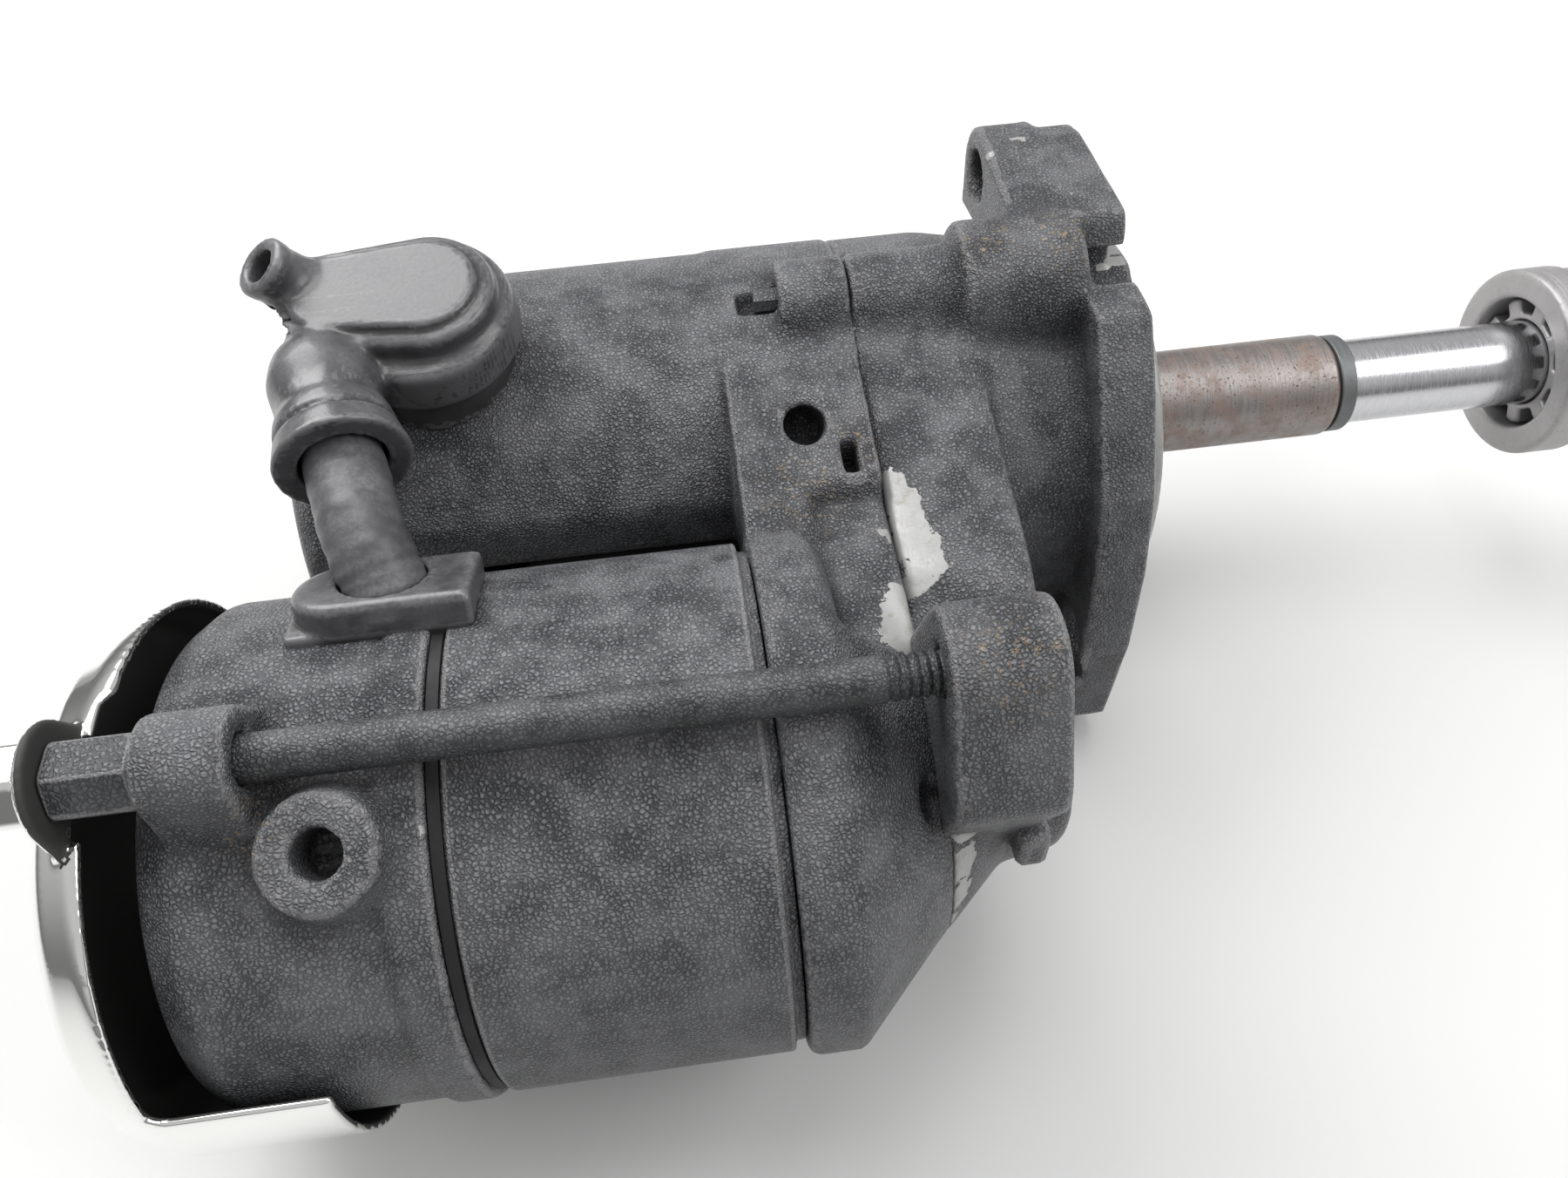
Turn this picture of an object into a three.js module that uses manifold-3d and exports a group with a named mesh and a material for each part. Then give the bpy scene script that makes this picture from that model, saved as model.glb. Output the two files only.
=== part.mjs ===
import * as THREE from 'three';
import { mergeVertices } from 'three/addons/utils/BufferGeometryUtils.js';
import Module from 'manifold-3d';

const wasm = await Module();
wasm.setup();

// Gear-reduction starter motor, millimetres, +Z up.
// +X runs along the output shaft towards the pinion; the origin is on the shaft
// axis in the face of the drive flange; the motor axis is parallel, towards -Y.

// ---- driving sizes ----
const yokeRadius = 37.5;
const yokeWall = 4.5;
const yokeLength = 42.5;
const endFrameLength = 37.5;
const gearHousingDepth = 22;
const driveHousingDepth = 46;
const barrelRadius = 36;
const barrelLength = 85;
const flangeThickness = 9;
const pilotRadius = 33;
const coverReach = 12;
const shaftRadius = 8;
const tubeWall = 1.4;
const tubeReach = 47.4;
const pinionGap = 38.9;
const pinionLength = 22;
const pinionRadius = 17.8;
const shaftTravel = 12;
const plungerRadius = 11.8;
const boltRadius = 3;
const boltAngle = 103.3;
const armatureTeeth = 11;
const idlerTeeth = 28;
const clutchTeeth = 36;
const drumRadius = 13;
const drumAngle = 101;
const motorStudAngle = 113;
const leadRadius = 5.7;
const leadAngle = 65;
const groundBossAngle = 120;
const fit = 0.2;

// ---- sizes that follow from them ----
const centreDistance = yokeRadius + barrelRadius - 1.5;
const motorY = -centreDistance;
const gearModule = (2.002 * centreDistance) / (armatureTeeth + 2 * idlerTeeth + clutchTeeth);
const seamX = -driveHousingDepth;
const yokeFrontX = seamX - gearHousingDepth;
const yokeRearX = yokeFrontX - yokeLength;
const endFrameRearX = yokeRearX - endFrameLength;
const earRearX = endFrameRearX + 6.5;
const coverRadius = yokeRadius + 1.9;
const coverRearX = endFrameRearX - coverReach;
const coverTabX = endFrameRearX - 5.4;
const boltPitchRadius = yokeRadius + boltRadius + 1.5;
const barrelRearX = seamX - barrelLength;
const chamberRadius = barrelRadius - 4.6;
const drumX = barrelRearX + 18.5;
const motorStudX = barrelRearX + 5.6;
const bootTop = barrelRadius + 17.4;
const groundBossX = yokeRearX - 12.1;
const tubeRadius = shaftRadius + fit + tubeWall;
const pinionRearX = tubeReach + pinionGap;
const pinionFrontX = pinionRearX + pinionLength;
const threadRadius = shaftRadius - 1.5;
const gearRearX = seamX - 12;
const gearFrontX = seamX - 2;
const degree = Math.PI / 180;

// ---- materials ----
const looks = {
  paint: [0x2b2d31, 0.25, 0.75],
  steel: [0xb9bcc0, 0.95, 0.3],
  darkSteel: [0x6d7074, 0.9, 0.5],
  chrome: [0xe6e9ee, 1.0, 0.06],
  aluminium: [0xc9cbcc, 0.9, 0.42],
  rubber: [0x1d1e20, 0.0, 0.85],
  copper: [0xb87345, 0.9, 0.35],
  plastic: [0x24262a, 0.0, 0.6],
  carbon: [0x333336, 0.2, 0.8],
};

function material(look) {
  const [color, metalness, roughness] = looks[look];
  return new THREE.MeshStandardMaterial({ color, metalness, roughness });
}

// ---- solids ----

// Signed volume of a welded triangle surface.
function signedVolume(position, triangles) {
  const a = new THREE.Vector3();
  const b = new THREE.Vector3();
  const c = new THREE.Vector3();
  let volume = 0;
  for (let i = 0; i < triangles.length; i += 3) {
    a.fromBufferAttribute(position, triangles[i]);
    b.fromBufferAttribute(position, triangles[i + 1]);
    c.fromBufferAttribute(position, triangles[i + 2]);
    volume += a.dot(b.cross(c)) / 6;
  }
  return volume;
}

// Turns any closed geometry into a manifold solid with outward faces.
function solid(geometry) {
  const bare = geometry.clone();
  for (const name of Object.keys(bare.attributes)) {
    if (name !== 'position') bare.deleteAttribute(name);
  }
  const welded = mergeVertices(bare, 1e-4);
  const triangles = [];
  const index = welded.index.array;
  for (let i = 0; i < index.length; i += 3) {
    const [a, b, c] = [index[i], index[i + 1], index[i + 2]];
    if (a !== b && b !== c && c !== a) triangles.push(a, b, c);
  }
  if (signedVolume(welded.attributes.position, triangles) < 0) triangles.reverse();
  return new wasm.Manifold(new wasm.Mesh({
    numProp: 3,
    vertProperties: new Float32Array(welded.attributes.position.array),
    triVerts: new Uint32Array(triangles),
  }));
}

function unite(...solids) {
  return solids.reduce((sum, next) => sum.add(next));
}

function cut(body, ...tools) {
  return tools.reduce((rest, tool) => rest.subtract(tool), body);
}

function mesh(name, body, look) {
  const data = body.getMesh();
  const geometry = new THREE.BufferGeometry();
  const corners = new Float32Array(data.vertProperties);
  geometry.setAttribute('position', new THREE.BufferAttribute(corners, 3));
  geometry.setIndex(new THREE.BufferAttribute(new Uint32Array(data.triVerts), 1));
  geometry.computeVertexNormals();
  const part = new THREE.Mesh(geometry, material(look));
  part.name = name;
  return part;
}

// Facets round a circle of the given radius.
function facets(radius) {
  if (radius > 25) return 32;
  if (radius > 12) return 20;
  if (radius > 7) return 16;
  return radius > 3.5 ? 12 : 8;
}

// Turned solid about an axis parallel to X; the profile is a list of [x, radius].
// A profile that starts and ends on the axis is closed; any other is closed on itself.
function turned(profile, y = 0, z = 0) {
  const segments = facets(Math.max(...profile.map(([, r]) => r)));
  const points = profile.map(([x, r]) => new THREE.Vector2(r, x));
  const onAxis = profile[0][1] === 0 && profile[profile.length - 1][1] === 0;
  if (!onAxis) points.push(points[0].clone());
  const geometry = new THREE.LatheGeometry(points, segments);
  geometry.rotateZ(-Math.PI / 2);
  geometry.translate(0, y, z);
  return solid(geometry);
}

function rod(x0, x1, radius, y = 0, z = 0) {
  return turned([[x0, 0], [x0, radius], [x1, radius], [x1, 0]], y, z);
}

function ring(x0, x1, outer, inner, y = 0, z = 0) {
  return turned([[x0, inner], [x0, outer], [x1, outer], [x1, inner]], y, z);
}

// Prism along X with a [y, z] outline.
function prism(outline, x0, x1) {
  const shape = new THREE.Shape(outline.map(([y, z]) => new THREE.Vector2(y, z)));
  const geometry = new THREE.ExtrudeGeometry(shape, { depth: x1 - x0, bevelEnabled: false });
  const turn = new THREE.Matrix4().makeBasis(
    new THREE.Vector3(0, 1, 0), new THREE.Vector3(0, 0, 1), new THREE.Vector3(1, 0, 0));
  geometry.applyMatrix4(turn);
  geometry.translate(x0, 0, 0);
  return solid(geometry);
}

function box(x0, x1, y0, y1, z0, z1) {
  const geometry = new THREE.BoxGeometry(x1 - x0, y1 - y0, z1 - z0);
  geometry.translate((x0 + x1) / 2, (y0 + y1) / 2, (z0 + z1) / 2);
  return solid(geometry);
}

// Cylinder between two points.
function strut(start, end, radius, endRadius = radius, sides = facets(radius)) {
  const from = new THREE.Vector3(...start);
  const along = new THREE.Vector3(...end).sub(from);
  const geometry = new THREE.CylinderGeometry(endRadius, radius, along.length(), sides);
  geometry.translate(0, along.length() / 2, 0);
  const up = new THREE.Vector3(0, 1, 0);
  const turn = new THREE.Quaternion().setFromUnitVectors(up, along.clone().normalize());
  geometry.applyQuaternion(turn);
  geometry.translate(from.x, from.y, from.z);
  return solid(geometry);
}

function ball(centre, radius) {
  const geometry = new THREE.SphereGeometry(radius, 14, 8);
  geometry.translate(...centre);
  return solid(geometry);
}

// Round bar swept along a curve.
function swept(curve, radius, steps, sides) {
  const shape = new THREE.Shape();
  for (let i = 0; i < sides; i += 1) {
    const angle = (2 * Math.PI * i) / sides;
    if (i === 0) shape.moveTo(radius * Math.cos(angle), radius * Math.sin(angle));
    else shape.lineTo(radius * Math.cos(angle), radius * Math.sin(angle));
  }
  shape.closePath();
  return solid(new THREE.ExtrudeGeometry(shape, { steps, extrudePath: curve, curveSegments: 1 }));
}

// ---- outlines ----

function circlePoints(y, z, radius, count = facets(radius)) {
  return Array.from({ length: count }, (_, i) => {
    const angle = (2 * Math.PI * i) / count;
    return [y + radius * Math.cos(angle), z + radius * Math.sin(angle)];
  });
}

// Convex outline round a set of points.
function hull(points) {
  const sorted = [...points].sort((a, b) => a[0] - b[0] || a[1] - b[1]);
  const half = (list) => {
    const chain = [];
    for (const p of list) {
      while (chain.length > 1) {
        const [a, b] = [chain[chain.length - 2], chain[chain.length - 1]];
        if ((b[0] - a[0]) * (p[1] - a[1]) - (b[1] - a[1]) * (p[0] - a[0]) > 1e-9) break;
        chain.pop();
      }
      chain.push(p);
    }
    chain.pop();
    return chain;
  };
  return [...half(sorted), ...half(sorted.reverse())];
}

function polar(radius, angle, y = 0, z = 0) {
  return [y + radius * Math.cos(angle * degree), z + radius * Math.sin(angle * degree)];
}

// Spur gear outline; the first tooth points along the given angle.
function gearOutline(teeth, y, z, phase) {
  const pitch = (gearModule * teeth) / 2;
  const root = pitch - 1.2 * gearModule;
  const tip = pitch + 0.9 * gearModule;
  const step = 360 / teeth;
  const outline = [];
  for (let i = 0; i < teeth; i += 1) {
    const middle = phase + i * step;
    outline.push(polar(root, middle - 0.34 * step, y, z));
    outline.push(polar(tip, middle - 0.1 * step, y, z));
    outline.push(polar(tip, middle + 0.1 * step, y, z));
    outline.push(polar(root, middle + 0.34 * step, y, z));
  }
  return outline;
}

const boltCentres = [boltAngle, boltAngle + 180].map((a) => polar(boltPitchRadius, a, motorY, 0));
const screwCentres = [polar(barrelRadius + 0.1, 94.4), polar(barrelRadius - 0.4, -51.8)];
const solenoidScrewAngles = [35, 215, 305];
const quarterAngles = [45, 135, 225, 315];
const armaturePitch = (gearModule * armatureTeeth) / 2;
const idlerPitch = (gearModule * idlerTeeth) / 2;
const clutchPitch = (gearModule * clutchTeeth) / 2;
const flangeScale = pilotRadius / 33;
const earCentre = [25.3 * flangeScale, 36.5 * flangeScale];
const mountCentre = [-35 * flangeScale, -23 * flangeScale];

// Idler axis, from the two mesh distances.
function idlerCentre() {
  const a = armaturePitch + idlerPitch;
  const b = idlerPitch + clutchPitch;
  const along = (a * a - b * b + centreDistance * centreDistance) / (2 * centreDistance);
  const rise = Math.sqrt(Math.max(a * a - along * along, 0));
  return [motorY + along, -rise];
}

const [idlerY, idlerZ] = idlerCentre();

// ---- rear cover ----

function chromeCover() {
  const inner = coverRadius - 1.2;
  const cupY = motorY - 0.8;
  const frontX = endFrameRearX + 19.6;
  const reach = 2 * coverRadius;
  const shell = turned([
    [coverRearX, 0], [coverRearX, coverRadius - 9], [coverRearX + 2.6, coverRadius - 2.6],
    [coverRearX + 9, coverRadius], [frontX, coverRadius], [frontX, inner],
    [coverRearX + 9.4, inner], [coverRearX + 3.4, inner - 2.2], [coverRearX + 1.2, inner - 8],
    [coverRearX + 1.2, 0],
  ], cupY, 0);
  const tabs = boltCentres.map(([y, z]) => prism(hull([
    ...circlePoints(y, z, 7.4, 8),
    ...circlePoints(motorY + (y - motorY) * 0.72, z * 0.72, 10, 8),
  ]), coverTabX, coverTabX + 1.4));
  const plates = cut(unite(...tabs), rod(coverTabX - 1, coverTabX + 3, inner - 0.4, cupY, 0));
  const holes = boltCentres.map(([y, z]) => rod(coverTabX - 1, coverTabX + 3, 2.7, y, z));
  const clearances = boltCentres.map(([y, z]) => rod(coverTabX + 1.4, endFrameRearX + 30, 7.4, y, z));
  const nutPockets = boltCentres.map(([y, z]) => rod(coverRearX - 1, coverTabX, 6.3, y, z));
  const nearWindow = prism([
    [motorY, 0], polar(reach, 168, motorY), polar(reach, 135, motorY), polar(reach, 86, motorY),
  ], coverRearX + 9.6, frontX + 1);
  const farWindow = prism([
    [motorY, 0], polar(reach, 96, motorY), polar(reach, 50, motorY), polar(reach, 0, motorY),
    polar(reach, -30, motorY), polar(reach, -62, motorY),
  ], coverRearX + 11, frontX + 1);
  const underWindow = prism([
    [motorY, 0], polar(reach, -58, motorY), polar(reach, -80, motorY), polar(reach, -96, motorY),
  ], coverRearX + 9, frontX + 1);
  return unite(
    cut(shell, nearWindow, farWindow, underWindow, ...clearances, ...nutPockets),
    cut(plates, ...holes));
}

// Hex spacer on the rear end of a through bolt; its stud carries the cover.
function standoff(y, z) {
  const hex = prism(circlePoints(y, z, 5.2, 6), coverTabX + 1.6, earRearX - fit);
  const stud = rod(coverTabX - 6.6, coverTabX + 1.6, 2.4, y, z);
  const thread = rod(earRearX - 4, earRearX, boltRadius + fit, y, z);
  return cut(unite(hex, stud), thread);
}

function acornNut(y, z) {
  const x = coverTabX - fit;
  const hex = prism(circlePoints(y, z, 5.6, 6), x - 4.6, x);
  const dome = turned([[x - 8.4, 0], [x - 7.6, 3], [x - 6, 4.4], [x - 4, 4.8], [x - 4, 0]], y, z);
  return cut(unite(hex, dome), rod(x - 7, x + 1, 2.4 + fit, y, z));
}

// ---- motor ----

// Path of the motor lead from under the boot down to the grommet.
function leadCurve(...extra) {
  const start = [motorStudX + 0.4, ...polar(barrelRadius + 15.2, 121.2)];
  const arch = [yokeRearX - 9.1, ...polar(yokeRadius + 9.9, leadAngle - 6.1, motorY)];
  const middle = start.map((value, i) => (value + arch[i]) / 2);
  return new THREE.CatmullRomCurve3([
    start, middle, arch,
    [yokeRearX - 6.9, ...polar(yokeRadius + 3.6, leadAngle - 1.6, motorY)],
    [yokeRearX - 6.1, ...polar(yokeRadius - 0.6, leadAngle, motorY)],
    ...extra,
  ].map((point) => new THREE.Vector3(...point)));
}

function leadPassage() {
  const inside = [yokeRearX - 5.1, ...polar(yokeRadius - 7.6, leadAngle, motorY)];
  return swept(leadCurve(inside), leadRadius + 0.5, 14, 12);
}

function endFrame() {
  const r = yokeRadius - 0.4;
  const shell = turned([
    [endFrameRearX, 0], [endFrameRearX, r - 7], [endFrameRearX + 1.4, r - 3],
    [endFrameRearX + 6, r], [yokeRearX - 7, r], [yokeRearX - 6, r + 0.9],
    [yokeRearX - 0.6, r + 0.9], [yokeRearX - 0.6, r - 3.6], [endFrameRearX + 8, r - 3.6],
    [endFrameRearX + 6, r - 7], [endFrameRearX + 6, 15], [endFrameRearX + 12, 14.5],
    [endFrameRearX + 12, 11.2], [endFrameRearX + 3, 11.2], [endFrameRearX + 3, 0],
  ], motorY, 0);
  const ears = boltCentres.map(([y, z]) => prism(hull([
    ...circlePoints(y, z, boltRadius + 3.6),
    ...circlePoints(motorY + (y - motorY) * 0.84, z * 0.84, 8.4),
  ]), earRearX, earRearX + 11));
  const along = (radius) => [groundBossX, ...polar(radius, groundBossAngle, motorY)];
  const boss = strut(along(yokeRadius - 4.5), along(yokeRadius + 5.1), 9.2, 7.2);
  const tapped = strut(along(yokeRadius - 3), along(yokeRadius + 7), 3.1, 3.1, 12);
  const core = rod(endFrameRearX + 8, yokeRearX + 5, r - 3.6, motorY, 0);
  const holes = boltCentres.map(([y, z]) => rod(endFrameRearX, earRearX + 12, boltRadius + fit, y, z));
  const outside = cut(unite(...ears, boss), core);
  return cut(unite(shell, outside), tapped, leadPassage(), ...holes);
}

function yoke() {
  const lip = yokeRadius - 1.4;
  return turned([
    [yokeRearX, yokeRadius - yokeWall], [yokeRearX, lip], [yokeRearX + 1.4, lip],
    [yokeRearX + 1.6, yokeRadius], [yokeFrontX - 1.6, yokeRadius], [yokeFrontX - 1.4, lip],
    [yokeFrontX, lip], [yokeFrontX, yokeRadius - yokeWall],
  ], motorY, 0);
}

function jointSeal(x) {
  return ring(x - 0.4, x + 1.2, yokeRadius - 0.5, yokeRadius - 1.2, motorY, 0);
}

function throughBolt(y, z) {
  return turned([
    [earRearX - 3.6, 0], [earRearX - 3.6, boltRadius], [seamX - 5, boltRadius],
    [seamX - 4.4, boltRadius - 0.35], [seamX + 8.5, boltRadius - 0.35], [seamX + 9, 0],
  ], y, z);
}

function armatureShaft() {
  return turned([
    [endFrameRearX + 5, 0], [endFrameRearX + 5, 5], [yokeFrontX + 6.8, 5], [yokeFrontX + 6.8, 4.4],
    [gearFrontX + 0.6, 4.4], [gearFrontX + 0.6, 0],
  ], motorY, 0);
}

function armaturePinion(phase) {
  const blank = prism(gearOutline(armatureTeeth, motorY, 0, phase), gearRearX, gearFrontX);
  return cut(blank, rod(gearRearX - 1, gearFrontX + 1, 4.4 + fit, motorY, 0));
}

function armatureCore() {
  const slots = 14;
  const tip = yokeRadius - 13.5;
  const outline = [];
  for (let i = 0; i < slots; i += 1) {
    const a = (360 / slots) * i;
    outline.push(polar(tip, a - 9.5, motorY), polar(tip, a, motorY), polar(tip, a + 9.5, motorY));
    outline.push(polar(tip - 3.5, a + 10.5, motorY), polar(tip - 3.5, a + 15.2, motorY));
  }
  const stack = prism(outline, yokeRearX + 6.5, yokeFrontX - 7);
  return cut(stack, rod(yokeRearX, yokeFrontX, 5 + fit, motorY, 0));
}

function commutator() {
  return ring(yokeRearX - 15, yokeRearX + 0.5, 14, 5 + fit, motorY, 0);
}

// Bearing as one ring with a shaft of the given radius through it.
function bearing(x0, x1, outer, shaft, y = 0, z = 0) {
  return ring(x0, x1, outer, shaft + fit, y, z);
}

function poleShoe(angle) {
  const outer = yokeRadius - yokeWall - 0.2;
  const inner = yokeRadius - 12.1;
  const outline = [];
  for (let i = 0; i <= 6; i += 1) outline.push(polar(outer, angle - 33 + i * 11, motorY));
  for (let i = 6; i >= 0; i -= 1) outline.push(polar(inner, angle - 33 + i * 11, motorY));
  return prism(outline, yokeRearX + 4.5, yokeFrontX - 5);
}

function brushHolder() {
  return ring(yokeRearX - 16, yokeRearX - 13.8, yokeRadius - 4.4, 18, motorY, 0);
}

function brush(angle) {
  const block = new THREE.BoxGeometry(9, 9, 6);
  block.translate(0, 18.9, 0);
  block.rotateX(angle * degree);
  block.translate(yokeRearX - 9, motorY, 0);
  return solid(block);
}

// ---- gear train ----

function idlerGear(phase) {
  const blank = prism(gearOutline(idlerTeeth, idlerY, idlerZ, phase), gearRearX, gearFrontX);
  return cut(blank, rod(gearRearX - 1, gearFrontX + 1, 6 + fit, idlerY, idlerZ));
}

function idlerPin() {
  return rod(seamX - 17.5, seamX + 4, 4, idlerY, idlerZ);
}

// Ring gear and outer race of the overrunning clutch in one.
function clutchGear(phase) {
  const blank = prism(gearOutline(clutchTeeth, 0, 0, phase), gearRearX, gearFrontX);
  const drum = rod(gearFrontX - 0.5, seamX + 14, tubeRadius + 11.4);
  const race = rod(gearRearX + 3, seamX + 15, tubeRadius + 6.4);
  return cut(unite(blank, drum), race, rod(gearRearX - 1, gearRearX + 4, tubeRadius + 2));
}

// Cage with its eight rollers between the clutch race and the tube.
function clutchRollers() {
  const [low, high] = [tubeRadius + 3.8, tubeRadius + 5.8];
  const outline = [];
  for (let i = 0; i < 8; i += 1) {
    const a = 45 * i;
    outline.push(polar(low, a - 12), polar(high, a - 6), polar(high + 0.3, a));
    outline.push(polar(high, a + 6), polar(low, a + 12));
  }
  return cut(prism(outline, seamX - 5, seamX + 12), rod(seamX - 6, seamX + 13, tubeRadius + 2.75));
}

function clutchBearing() {
  return bearing(seamX + 23.5, -flangeThickness - 3, tubeRadius + 8.4, tubeRadius + 1.3);
}

function outputTube() {
  return turned([
    [seamX - 11, shaftRadius + 0.6], [seamX - 11, tubeRadius + 1.6], [seamX - 6, tubeRadius + 1.6],
    [seamX - 6, tubeRadius + 2.4], [seamX + 13, tubeRadius + 2.4], [seamX + 13, tubeRadius + 1.3],
    [-10, tubeRadius + 1.3], [-10, tubeRadius], [tubeReach - 0.8, tubeRadius],
    [tubeReach, tubeRadius - 0.8], [tubeReach, shaftRadius + fit], [5, shaftRadius + fit],
    [5, shaftRadius - 1.8], [-18, shaftRadius - 1.8], [-18, shaftRadius + 0.6],
  ]);
}

function tubeEndRing() {
  return ring(tubeReach + 0.3, tubeReach + 3.2, tubeRadius - 0.4, shaftRadius + fit);
}

function driveShaft() {
  return turned([
    [seamX - 6, 0], [seamX - 6, shaftRadius - 2.8], [seamX - 2.6, shaftRadius - 2.8],
    [seamX - 2.6, shaftRadius - 2], [10 + shaftTravel, shaftRadius - 2], [10 + shaftTravel, shaftRadius],
    [pinionRearX + 4, shaftRadius], [pinionRearX + 4, threadRadius], [pinionFrontX + 4, threadRadius],
    [pinionFrontX + 5, threadRadius - 0.9], [pinionFrontX + 5, 0],
  ]);
}

function springCollar() {
  return ring(seamX - 5.6, seamX - 3, shaftRadius + 0.2, shaftRadius - 2.8 + fit);
}

function returnSpring() {
  class Helix extends THREE.Curve {
    getPoint(t, target = new THREE.Vector3()) {
      const angle = 2 * Math.PI * 5 * t;
      const radius = shaftRadius - 0.65;
      const x = seamX - 1.9 - (17.2 + seamX) * t;
      return target.set(x, radius * Math.cos(angle), radius * Math.sin(angle));
    }
  }
  return swept(new Helix(), 0.9, 50, 4);
}

// Nine-lobed hub that drives the pinion through its bore.
function splineHub() {
  const outline = [];
  for (let i = 0; i < 9; i += 1) {
    const a = 40 * i;
    outline.push(polar(9.4, a - 11), polar(11.9, a - 9), polar(12.2, a));
    outline.push(polar(11.9, a + 9), polar(9.4, a + 11));
  }
  return cut(prism(outline, pinionRearX + 2.2, pinionFrontX - 3),
    rod(pinionRearX, pinionFrontX, threadRadius + 0.4),
    rod(pinionRearX, pinionRearX + 4, shaftRadius + fit));
}

function pinion() {
  const teeth = 10;
  const [root, tip] = [pinionRadius - 3.6, pinionRadius - 0.4];
  const outline = [];
  for (let i = 0; i < teeth; i += 1) {
    const a = (360 / teeth) * i;
    outline.push(polar(root, a - 12), polar(tip, a - 5), polar(tip, a + 5), polar(root, a + 12));
  }
  const collar = turned([
    [pinionRearX, 0], [pinionRearX, pinionRadius - 0.7], [pinionRearX + 0.7, pinionRadius],
    [pinionRearX + 8, pinionRadius], [pinionRearX + 8, 0],
  ]);
  const bore = rod(pinionRearX - 1, pinionFrontX - 2.6, 12.5);
  return cut(unite(collar, prism(outline, pinionRearX + 7, pinionFrontX)), bore,
    rod(pinionFrontX - 4, pinionFrontX + 1, threadRadius + 0.5));
}

function pinionNut() {
  const x0 = pinionFrontX + 0.2;
  return cut(prism(circlePoints(0, 0, 10.5, 6), x0, x0 + 4.2), rod(x0 - 1, x0 + 5, threadRadius + 0.4));
}

// ---- housings ----

// Side of the solenoid barrel that is cut flat where the motor lies against it.
function barrelFlat(x0, x1) {
  return box(x0, x1, motorY, motorY + yokeRadius + 3.9, -60, 60);
}

function ridgeAt(x0, x1, radius) {
  return rod(x0, x1, radius, ...polar(barrelRadius - 1.5, 94));
}

function gearHousing() {
  const r = yokeRadius + 1;
  const front = seamX - 0.1;
  const cap = turned([
    [yokeFrontX + 0.2, 0], [yokeFrontX + 0.2, yokeRadius], [yokeFrontX + 1.4, r], [yokeFrontX + 8, r],
    [front, r - 14], [front, 0],
  ], motorY, 0);
  const web = prism(hull([
    ...circlePoints(motorY, 0, yokeRadius - 13.1), ...circlePoints(0, 0, barrelRadius),
  ]), yokeFrontX + 0.2, front);
  const barrel = rod(barrelRearX, front, barrelRadius);
  const lowRidge = rod(seamX - 12.5, front, 7.4, ...screwCentres[1]);
  const shelf = prism(hull([
    ...circlePoints(...polar(barrelRadius + 1.2, 143.7), 4),
    ...circlePoints(...polar(barrelRadius - 3, 150), 5),
    ...circlePoints(...polar(barrelRadius - 12.7, 121), 8),
  ]), yokeFrontX + 0.2, front);
  const outside = unite(cut(barrel, barrelFlat(barrelRearX - 1, yokeFrontX + 0.2)), cap, web,
    ridgeAt(seamX - 11.6, front, 7.4), lowRidge, shelf);
  const chamber = rod(barrelRearX - 1, yokeFrontX + 2, chamberRadius);
  const gearSpace = prism(circlePoints(0, 0, clutchPitch + 3.3), seamX - 14, seamX + 1);
  const idlerSpace = prism(hull([
    ...circlePoints(idlerY, idlerZ, idlerPitch + 2), ...circlePoints(motorY, 0, armaturePitch + 2.8),
  ]), seamX - 14, seamX + 1);
  const rodHole = rod(yokeFrontX - 2, seamX - 9, 10.6);
  const pinHole = rod(seamX - 17.8, seamX - 9, 4 + fit, idlerY, idlerZ);
  const bearingSeat = rod(yokeFrontX - 1, yokeFrontX + 7, 13.2, motorY, 0);
  const shaftHole = rod(yokeFrontX + 2, seamX - 4, 7.4, motorY, 0);
  const register = rod(yokeFrontX - 1, yokeFrontX + 2.2, yokeRadius - yokeWall, motorY, 0);
  const vent = strut([seamX - 10.4, ...polar(barrelRadius - 2.8, 131)],
    [seamX - 10.4, ...polar(barrelRadius + 14, 131)], 3.3);
  const pocket = box(seamX - 10.4, seamX - 3.4, motorY + 23, motorY + 39, 25, yokeRadius + 12.5);
  const screws = screwCentres.map(([y, z]) => rod(seamX - 18, seamX + 6, 2.2 + fit, y, z));
  return cut(outside, chamber, gearSpace, idlerSpace, rodHole, pinHole, bearingSeat, shaftHole,
    register, vent, pocket, ...screws, terminalHole(), drainHole());
}

// Opening in the barrel under the terminal base.
function terminalHole() {
  return unite(
    onDrum(-8, 14, 7),
    onStud(-8, 14, 3.4));
}

function drainHole() {
  const x = seamX - 10;
  return strut([x, ...polar(barrelRadius - 16, 250)], [x, ...polar(barrelRadius + 14, 250)], 2.2);
}

// Points of the drive flange, which grows with the pilot.
function atFlange(points) {
  return points.map(([y, z]) => [y * flangeScale, z * flangeScale]);
}

function driveFlangeOutline() {
  return atFlange([
    [-20, 40.5], [-29, 30], [-38, 16], [-42.5, 2], [-45, -16], [-44, -40], [-40, -47],
    [-28, -46], [-8, -42], [12, -38], [28, -30], [37, -16], [39, 0], [38, 14], [35, 24],
    [34.5, 39], [30, 43.5], [24, 45.4], [-2, 47], [-6.5, 33], [-11, 39],
  ]);
}

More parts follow.
